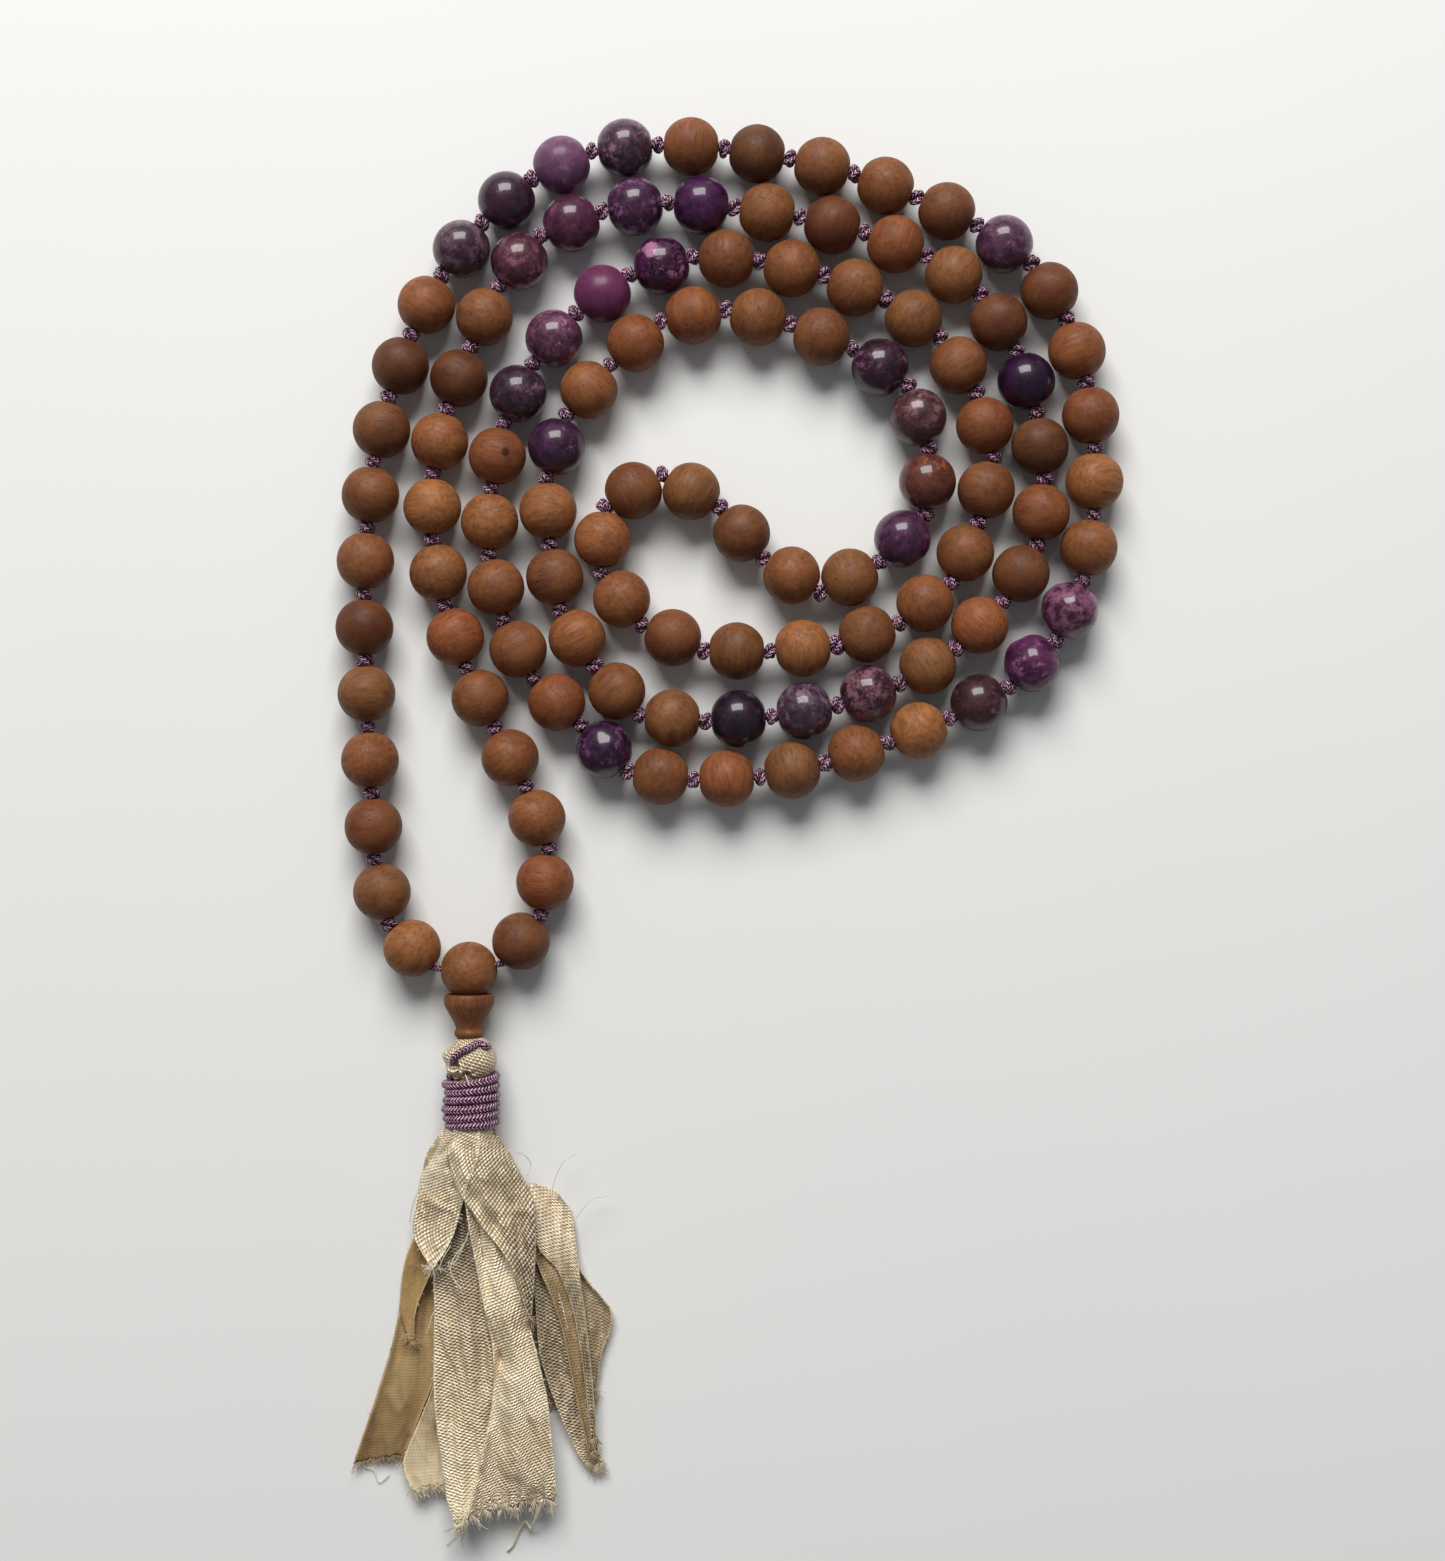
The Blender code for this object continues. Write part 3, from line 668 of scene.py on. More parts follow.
def bead_profile():
    """A bead's section: out of the bore, round the outside and back in."""
    last = math.degrees(math.acos(BORE_EDGE[-1][1] / BEAD_RADIUS))
    angles = np.radians(np.linspace(-last, last, BEAD_RINGS + 2)[1:-1])
    size = BEAD_RADIUS + BEAD_SKIN
    outer = [(size * math.sin(a), size * math.cos(a)) for a in angles]
    start = [(-along, radius) for along, radius in BORE_EDGE]
    return start + outer + list(reversed(BORE_EDGE))


BEAD_PROFILE = bead_profile()


def bead_mesh(name, lump, random):
    """A turned bead that is a little out of round, as hand-finished beads are."""
    mesh = turned_mesh(name, BEAD_PROFILE, BEAD_SIDES, closed=True)
    shift = Vector(random.uniform(-1, 1, 3))
    stretch = 1 + random.uniform(-0.008, 0.006)
    for vertex in mesh.vertices:
        out = max(0.0, (vertex.co.length - EVEN_WITHIN) / LUMPS_RISE)
        swell = noise.noise(vertex.co * 260 + shift * 9) * 0.00004
        swell += noise.noise(vertex.co * 420 + shift * 5) * lump
        vertex.co += vertex.co.normalized() * min(swell, HIGHEST_LUMP) * out
        vertex.co.y *= stretch
    return mesh


def bead_matrix(bead, spin):
    axis = bead_axis(bead)
    turn = Matrix.Rotation(math.atan2(axis.y, axis.x), 4, "Z")
    return Matrix.Translation(bead_centre(bead)) @ turn @ Matrix.Rotation(spin, 4, "X")


def wood_look(bead, random):
    """A wood bead's brightness, hue and seed, as an object colour."""
    brightness = 0.5 + 0.36 * (bead in BRIGHT_BEADS) - 0.34 * (bead in DARK_BEADS)
    hue = 0.5 + 0.42 * (bead in GOLDEN_BEADS) - 0.42 * (bead in RED_BEADS)
    brightness += random.uniform(-0.16, 0.16)
    hue += random.uniform(-0.12, 0.12)
    return (brightness, hue, random.uniform(), 1.0)


def set_stone_look(made, bead, random):
    dark, main, pale, pale_share, specks = STONES[bead]
    made["stone_dark"] = colour(*dark)[:3]
    made["stone_main"] = colour(*main)[:3]
    made["stone_pale"] = colour(*pale)[:3]
    made["stone_pale_share"] = pale_share
    made.color = (0.5, specks, random.uniform(), 1.0)


def make_beads(materials):
    for bead in range(1, BEADS + 1):
        random = rng_for("bead", bead)
        cad_node, body = place_of(bead)
        kind = "stone" if bead in STONES else "wood"
        name = f"look_{kind}_{bead:03d}"
        mesh = bead_mesh(name, LUMPY_STONES.get(bead, 0.0), random)
        material = materials[kind]
        if bead in CLEAR_STONES:
            material = materials["dull_stone" if bead in DULL_STONES else "clear_stone"]
        place = bead_matrix(bead, random.uniform(0, math.tau))
        made = add_piece(name, mesh, material, body, [cad_node], place)
        if bead in SPOTS:
            kind_of_spot, right, up = SPOTS[bead]
            out = Vector((right, up, math.sqrt(1 - right**2 - up**2))) * BEAD_RADIUS
            made[kind_of_spot] = place.inverted() @ (bead_centre(bead) + out)
        if kind == "stone":
            set_stone_look(made, bead, random)
        else:
            made.color = wood_look(bead, random)


# ---- cords and knots ------------------------------------------------------------------------------------

KNOT_RING = 0.00052  # radius of the ring that a knot's cord winds round
KNOT_WIND = 0.00050  # and how far it winds from it
KNOT_CORD = 0.00040  # the pulled-tight cord's radius
KNOT_POINTS = 60
KNOT_EASE = 0.045  # how far the cord cuts a corner at a knot, as a share of the pitch and the turn
CORD_SIDES = 8
STRAIGHT_HALF = 0.0031  # the cord runs straight this far to either side of a bead's middle
MOUTH = 0.0039  # from a bead's middle to the mouth of its bore
CORD_PAST_BEAD = 0.0046  # the cord next to the guru bead starts this far behind the bead's middle
CORD_IN_GURU = 0.0022  # and ends this far from the guru bead's middle


def knot_mesh(knot):
    """An overhand knot pulled tight: the cord winds one and a half times round itself between two beads."""
    random = rng_for("knot", knot)
    ahead = knot_axis(knot)
    tilt = Vector(random.normal(0, 0.12, 3))
    ahead = (ahead + tilt - ahead * tilt.dot(ahead)).normalized()
    across = ahead.cross(Vector((0, 0, 1))).normalized()
    up = across.cross(ahead)
    size = 1.22 if knot == DOUBLE_KNOT else random.uniform(0.90, 1.06)
    start = random.uniform(0, math.tau)
    hand = 5 if knot == DOUBLE_KNOT else 3
    points = []
    for i in range(KNOT_POINTS):
        t = math.tau * i / KNOT_POINTS
        radius = KNOT_RING + KNOT_WIND * math.cos(hand * t) * 0.95
        along = KNOT_WIND * math.sin(hand * t)
        angle = 2 * t + start
        round_it = across * math.cos(angle) + up * math.sin(angle)
        points.append(knot_point(knot) + (round_it * radius + ahead * along) * size)
    return tube_mesh(f"knot_{knot}", points, KNOT_CORD * size**0.5, CORD_SIDES, closed=True)


def cord_line(first, last):
    """The cord's way through the beads from one knot to another, eased at each knot."""
    line = []
    for knot in range(first, last + 1):
        point = knot_point(knot)
        if first < knot < last:
            point = point + (bead_axis(knot + 1) - bead_axis(knot)) * PITCH * KNOT_EASE
        line.append(point)
        if knot < last:
            centre, axis = bead_centre(knot + 1), bead_axis(knot + 1)
            line += [centre + axis * far for far in (-STRAIGHT_HALF, 0.0, STRAIGHT_HALF)]
    return line


def make_cord(name, first, last, body, material):
    line = cord_line(first, last)
    made = add_piece(name, tube_mesh(name, line, CORD_RADIUS, CORD_SIDES), material, body)


def make_strand_cords(material):
    make_cord("stringing_cord_outer", PENDANT_BEADS, DOUBLE_KNOT, "strand", material)
    make_cord("stringing_cord_inner_loop", DOUBLE_KNOT, LAST_INNER_KNOT, "coil_end", material)
    make_cord("stringing_cord_inner", LAST_INNER_KNOT, BEADS - PENDANT_BEADS, "strand", material)
    for number in range(PENDANT_BEADS, 0, -1):
        make_pendant_cord(f"cord_through_left_{number}", number, number, material)
        make_pendant_cord(f"cord_through_right_{number}", number, BEADS + 1 - number, material)


def guru_mouth(bead):
    """Where the cord leaves a bead next to the guru bead, on the guru bead's side."""
    towards = -1 if bead == 1 else 1
    return bead_centre(bead) + bead_axis(bead) * towards * MOUTH


def make_pendant_cord(name, number, bead, material):
    """The cord through one pendant bead; at the last pair it goes on into the guru bead."""
    if number > 1:
        line = [knot_point(bead - 1), bead_centre(bead), knot_point(bead)]
    else:
        away = 1 if bead == 1 else -1
        start = bead_centre(bead) + bead_axis(bead) * away * CORD_PAST_BEAD
        edge = guru_mouth(bead)
        line = [start, bead_centre(bead), edge, GURU + (edge - GURU).normalized() * CORD_IN_GURU]
    mesh = tube_mesh(name, line, CORD_RADIUS, CORD_SIDES)
    add_piece(name, mesh, material, pendant_body(number))


def knot_group(knot):
    """The name and the body of the knots that one knot is made with."""
    if knot < PENDANT_BEADS or knot > BEADS - PENDANT_BEADS:
        link = PENDANT_BEADS - knot if knot < PENDANT_BEADS else knot - (BEADS - PENDANT_BEADS)
        return f"knots_link_{link}", f"pendant_link_{link}"
    run = run_of(max(knot, PENDANT_BEADS + 1))
    if knot == LAST_INNER_KNOT:
        run = INNER_RUN + 1
    return f"knots_{run:02d}", "coil_end" if run == INNER_RUN else "strand"


def make_knots(material):
    """The knots between the beads, those of one length of cord or one link as one piece."""
    groups = {}
    for knot in range(1, BEADS):
        groups.setdefault(knot_group(knot), []).append(knot)
    for (name, body), knots in groups.items():
        mesh = join_meshes(name, [knot_mesh(knot) for knot in knots])
        add_piece(name, mesh, material, body)


# ---- guru bead and stem bead ------------------------------------------------------------------------------

# Stem bead, one side of its section: distance below the guru bead's centre, and radius.
STEM_SECTION = [
    (0.00440, 0.00090), (0.00412, 0.00100), (0.00400, 0.00150), (0.00375, 0.00210), (0.00350, 0.00260),
    (0.00337, 0.00290), (0.00335, 0.00312), (0.00345, 0.00330), (0.00370, 0.00343), (0.00405, 0.00350),
    (0.00450, 0.00351), (0.00490, 0.00344), (0.00530, 0.00327), (0.00570, 0.00306), (0.00610, 0.00284),
    (0.00650, 0.00261), (0.00690, 0.00237), (0.00730, 0.00215), (0.00770, 0.00198), (0.00810, 0.00187),
    (0.00838, 0.00190), (0.00860, 0.00202), (0.00880, 0.00208), (0.00905, 0.00206), (0.00935, 0.00188),
    (0.00960, 0.00155), (0.00972, 0.00130), (0.00972, 0.00108), (0.00960, 0.00092), (0.00900, 0.00090),
]
STEM_MIDDLE = 0.0062  # where the stem bead's own origin lies, below the guru bead's centre
TURNED_SIDES = 48
CUTTER_SIDES = 24
GURU_RINGS = 34
GURU_COLOUR = (0.62, 0.75, 0.37, 1.0)  # brightness, hue and seed
STEM_COLOUR = (0.46, 0.66, 0.81, 1.0)
HOLE_START = 0.0002  # the guru bead's three holes start this far behind its centre
# The rod that cuts a hole and the wear at its mouth: distance along it and radius.
HOLE_PROFILE = [
    (0.0, BORE_RADIUS), (0.0036, BORE_RADIUS), (0.0039, BORE_RADIUS * 1.25), (0.0060, BORE_RADIUS * 3),
]


def hung_matrix(below=0.0):
    """Turns a piece modelled along +X to run along -Y, that far below the guru bead's centre."""
    return Matrix.Translation(GURU + Vector((0, -below, 0))) @ Matrix.Rotation(-math.pi / 2, 4, "Z")


def smooth_profile(points, steps):
    """More points, on one smooth curve through the given ones."""
    points = np.asarray(points, float)
    padded = np.vstack([2 * points[0] - points[1], points, 2 * points[-1] - points[-2]])
    out = []
    for i in range(len(points) - 1):
        a, b, c, d = padded[i : i + 4]
        square, cube = 2 * a - 5 * b + 4 * c - d, 3 * b - a - 3 * c + d
        out += [0.5 * (2 * b + (c - a) * s + square * s**2 + cube * s**3) for s in np.arange(steps) / steps]
    out.append(points[-1])
    return np.array(out)


def cut_holes(mesh, holes):
    """Takes rods from a mesh: each from start towards end, widening a little at the mouth."""
    made = new_object("cut", mesh)
    cutters = []
    for start, end in holes:
        aim = (end - start).to_track_quat("X", "Z")
        cutter = new_object("cutter", turned_mesh("cutter", HOLE_PROFILE, CUTTER_SIDES))
        cutter.matrix_world = Matrix.Translation(start) @ aim.to_matrix().to_4x4()
        cut = made.modifiers.new("hole", "BOOLEAN")
        cut.operation = "DIFFERENCE"
        cut.object = cutter
        cutters.append(cutter)
    result = applied(made, cutters)
    result.set_sharp_from_angle(angle=math.radians(40))
    return result


def make_guru_bead(material):
    angles = np.radians(np.linspace(-88, 88, GURU_RINGS))
    profile = [(BEAD_RADIUS * math.sin(a), BEAD_RADIUS * math.cos(a)) for a in angles]
    ball = turned_mesh("guru_ball", profile, TURNED_SIDES)
    turn = hung_matrix().to_3x3().inverted()
    aims = [turn @ (guru_mouth(bead) - GURU).normalized() for bead in (1, BEADS)] + [Vector((1, 0, 0))]
    mesh = cut_holes(ball, [(aim * -HOLE_START, aim) for aim in aims])
    mesh.name = "look_guru_bead"
    made = add_piece("look_guru_bead", mesh, material, "guru_link", ["guru_bead"], hung_matrix())
    made.color = GURU_COLOUR


def make_stem_bead(material):
    """The turned vase-shaped bead: a hollow seat under the guru bead, a waist and a small foot."""
    profile = smooth_profile([(along - STEM_MIDDLE, radius) for along, radius in STEM_SECTION], 2)
    mesh = turned_mesh("look_stem_bead", profile, TURNED_SIDES, closed=True)
    place = hung_matrix(STEM_MIDDLE)
    made = add_piece("look_stem_bead", mesh, material, "stem_bead", ["stem_bead"], place)
    made.color = STEM_COLOUR


# ---- the tassel's cord, head and binding ------------------------------------------------------------------

ROUND_SIDES = 12  # round a cord of the tassel
TASSEL_CORD_RADIUS = 0.00055
TASSEL_CORD_ENDS = (0.0034, 0.0104)  # below the guru bead's centre
LOOP_RADIUS = 0.00050
# The cord that carries the head, from under the stem's foot down over the head's left side: how far right of
# the head's middle, how far up from it, and how far off its surface.
LOOP_ROUTE = [
    (0.0025, 0.0019, -0.0002), (0.0021, 0.0021, 0.0003), (0.0015, 0.0025, 0.0002), (0.0009, 0.0025, 0.0003),
    (0.0002, 0.0021, 0.0004), (-0.0006, 0.0017, 0.0004), (-0.0014, 0.0013, 0.0004),
    (-0.0021, 0.0006, 0.0003), (-0.0024, 0.0000, -0.0001), (-0.0025, -0.0006, -0.0006),
]
HEAD_CENTRE = GURU + Vector((0.00035, -0.0126, 0))
HEAD_RADIUS = 0.0036
HEAD_HALF_LENGTH = 0.0034
HEAD_RINGS, HEAD_SIDES = 44, 80
HEAD_FIRST, HEAD_SWEEP = -86, 152  # the ball's first ring and how far its rings go on, degrees
HEAD_COLOUR = (0.70, 0.12, 0.13, 1.0)  # brightness, gold and seed
PUCKER = (-0.00035, -0.0019)  # where the head's cloth is drawn in, from its middle
NECK_ROWS = np.linspace(0.0159, 0.0235, 12)  # below the guru bead's centre
NECK_RADIUS = 0.0028
NECK_PLEATS = 11
# On the head's cloth: the width of a column, the height of a ring, and how far a column leans.
CLOTH_COLUMN, CLOTH_RING, CLOTH_LEAN = 0.00029, 0.00018, 0.00008
BINDING_START = 0.0141
BINDING_TURNS = 6
BINDING_PITCH = 0.00126
BINDING_CLOSE = 0.96  # how tightly the turns are pushed together
BINDING_RADIUS = 0.0034  # to the middle of the cord
BINDING_CORD = 0.00060
BINDING_SHIFT = Vector((0.0004, 0, 0))
# Turns that stand out on the left, by number, and how far.
LOOSE_TURNS = {0: 0.00020, 1: 0.00034, 4: 0.00026}
TURN_POINTS = 40


def make_tassel_cord(material):
    line = [GURU + Vector((0, -below, 0)) for below in np.linspace(*TASSEL_CORD_ENDS, 8)]
    mesh = tube_mesh("look_tassel_cord", line, TASSEL_CORD_RADIUS, ROUND_SIDES)
    add_piece("look_tassel_cord", mesh, material, "tassel_stem", ["tassel_cord"])


def head_surface(across, along, lift=0.0):
    """A point on top of the tassel's head, from its distance to the right and up from the middle."""
    radius, half = HEAD_RADIUS + lift, HEAD_HALF_LENGTH + lift
    rest = max(0.0, 1 - (across / radius) ** 2 - (along / half) ** 2)
    return HEAD_CENTRE + Vector((across, along, radius * math.sqrt(rest)))


def make_cord_loop(material):
    line = smooth_profile([head_surface(*step) for step in LOOP_ROUTE], 4)
    mesh = tube_mesh("look_cord_loop", line, LOOP_RADIUS, ROUND_SIDES)
    add_piece("look_cord_loop", mesh, material, "tassel", ["cord_loop"])


def gauss(distance, width):
    return math.exp(-((distance / width) ** 2))


def head_fold(point):
    """How far the cloth of the head stands out or in at a point, from its folds."""
    x, y, z = point
    on_top = 1 / (1 + math.exp(-(z - 0.0006) / 0.0004))
    valley = gauss(x + 0.0019 + 0.25 * (y + 0.0008), 0.00030) * (y < 0.0010) * on_top
    from_pucker = math.hypot(x - PUCKER[0], y - PUCKER[1])
    hole = gauss(from_pucker, 0.00036) * on_top
    turn = math.atan2(y - PUCKER[1], x - PUCKER[0])
    rays = math.cos(7 * turn) * gauss(from_pucker - 0.0008, 0.0006) * on_top
    roll = gauss(x + 0.0012 - 0.35 * (y + 0.0016), 0.00038) * gauss(y + 0.0014, 0.0011) * on_top
    strip = gauss(y - 0.0014 - 0.55 * (x + 0.0022), 0.00030) * (x < -0.0006) * on_top
    creases = noise.noise(Vector((x * 420, y * 160, z * 420))) * 0.00022
    left = 0.00060 * (x < -0.0019) * noise.noise(Vector((x * 900, y * 900, z * 700)))
    folds = -0.00105 * valley - 0.0011 * hole + 0.00018 * rays + 0.00035 * roll + 0.00024 * strip
    return folds + creases + left


def head_point(ring, side):
    """A point of the ball of folded cloth; it is a little square-shouldered."""
    angle = math.radians(HEAD_FIRST + HEAD_SWEEP * ring / (HEAD_RINGS - 1))
    turn = math.tau * side / HEAD_SIDES
    point = Vector((
        HEAD_RADIUS * math.cos(angle) * math.cos(turn),
        -HEAD_HALF_LENGTH * math.sin(angle),
        HEAD_RADIUS * math.cos(angle) * math.sin(turn),
    ))
    point.x *= 1 + 0.05 * abs(math.sin(2 * turn))
    return HEAD_CENTRE + (point + point.normalized() * head_fold(point))


def neck_point(over, below, side):
    """A point of the gathered cloth that goes down through the binding, under a point of the ball."""
    out = over - HEAD_CENTRE
    out.y = 0
    pleat = 1 + 0.05 * math.sin(NECK_PLEATS * math.tau * side / HEAD_SIDES)
    centre = GURU + BINDING_SHIFT + Vector((0, -below, 0))
    return centre + out.normalized() * NECK_RADIUS * pleat


def make_tassel_head(material):
    """The ball of folded cloth, and the gathered cloth below it."""
    rows = [[head_point(ring, side) for side in range(HEAD_SIDES)] for ring in range(HEAD_RINGS)]
    ball_end = rows[-1]
    for below in NECK_ROWS:
        rows.append([neck_point(ball_end[side], below, side) for side in range(HEAD_SIDES)])
    mesh = grid_mesh(
        "look_tassel_head", rows, closed_columns=True, caps=True,
        lay=lambda a, b: (b * CLOTH_COLUMN, a * CLOTH_RING + b * CLOTH_LEAN),
    )
    made = add_piece("look_tassel_head", outward(mesh), material, "tassel", ["tassel_head"])
    made.color = HEAD_COLOUR


def binding_line():
    """The helix of the binding, a little uneven, with its first turn on a slant."""
    swell = rng_for("binding").uniform(-0.00016, 0.00016, BINDING_TURNS + 2)
    for turn, more in LOOSE_TURNS.items():
        swell[turn] += more
    line = []
    for i in range(BINDING_TURNS * TURN_POINTS + 1):
        turn = i / TURN_POINTS
        angle = math.tau * turn + math.radians(200)
        slant = 0.00026 * math.cos(angle) * max(0.0, 1 - turn / 2.2)
        lean = 0.00010 * math.cos(angle + 1.4 * math.sin(1.9 * turn))
        left = max(0.0, -math.cos(angle))
        bulge = swell[int(turn)] * (1 - turn % 1) + swell[int(turn) + 1] * (turn % 1)
        radius = BINDING_RADIUS + bulge * left
        below = BINDING_START + BINDING_PITCH / 2 + BINDING_PITCH * turn * BINDING_CLOSE - slant - lean
        out = Vector((radius * math.cos(angle), -below, radius * math.sin(angle)))
        line.append(GURU + BINDING_SHIFT + out)
    return line


def make_binding(material):
    line = binding_line()
    mesh = tube_mesh("look_tassel_wrap", line, BINDING_CORD, ROUND_SIDES)
    made = add_piece("look_tassel_wrap", mesh, material, "tassel", ["tassel_wrap"])


# ---- the skirt of torn silk -------------------------------------------------------------------------------

# The bundle's outline below the binding, mm: y, middle x, half width, and thickness.
BUNDLE = [
    (-43.0, -36.5, 3.2, 6.0), (-44.8, -36.4, 3.5, 6.2), (-50.0, -36.0, 7.0, 5.9),
    (-56.0, -35.5, 10.5, 4.9), (-64.0, -34.5, 14.5, 4.4), (-72.0, -34.0, 17.0, 4.2),
    (-85.0, -35.0, 19.0, 4.2), (-100.5, -36.0, 21.0, 4.6),
]
FLOOR_CLEAR = 0.12  # between the lowest sheet and the floor, mm
ROUND_UNTIL = -53.0  # below this the bundle lies flat on the floor, mm
CLOTH_THICKNESS = 0.00012
EDGE_THREAD = 0.00008
THREAD_SIDES = 4
HEM_FIBRES, EDGE_FIBRES = 300, 90  # on a strip that is as ragged as can be
FIBRE_STEP = 0.0003
FIBRE_DROP = 0.00004  # in each step
FIBRE_CLEAR = 0.00008  # from the floor


@dataclass
class Strip:
    """A torn strip of silk, in mm.

    left, right: its two long edges, from the top down
    layer: its place in the bundle, from 0 for the lowest to 1 for the top
    bright: how bright it is, at even steps from its top to its hem: its own shade with the painted light and
    shade of its folds, and above 1 a painted satin highlight
    gold: its colour, from 0 for cream to 1 for golden brown
    weave: the weave's angle, in degrees
    ripples, depth: how many ripples lie across it, and how deep they are
    edges: how far its left and its right edge turn up
    across: how much brighter it is at its right edge than at its left one, painted light and shade as the
    cloth turns towards or away from the light
    satin: how much of its face is satin, which glints, and creases more; it also sets the strength of the
    painted sheen and the painted shade of its twill
    rag: how ragged its hem and its edges are
    """

    left: list
    right: list
    layer: float
    bright: tuple
    gold: float
    weave: float
    ripples: float
    depth: float
    edges: tuple
    across: float = 0.1
    satin: float = 1.0
    rag: float = 0.5
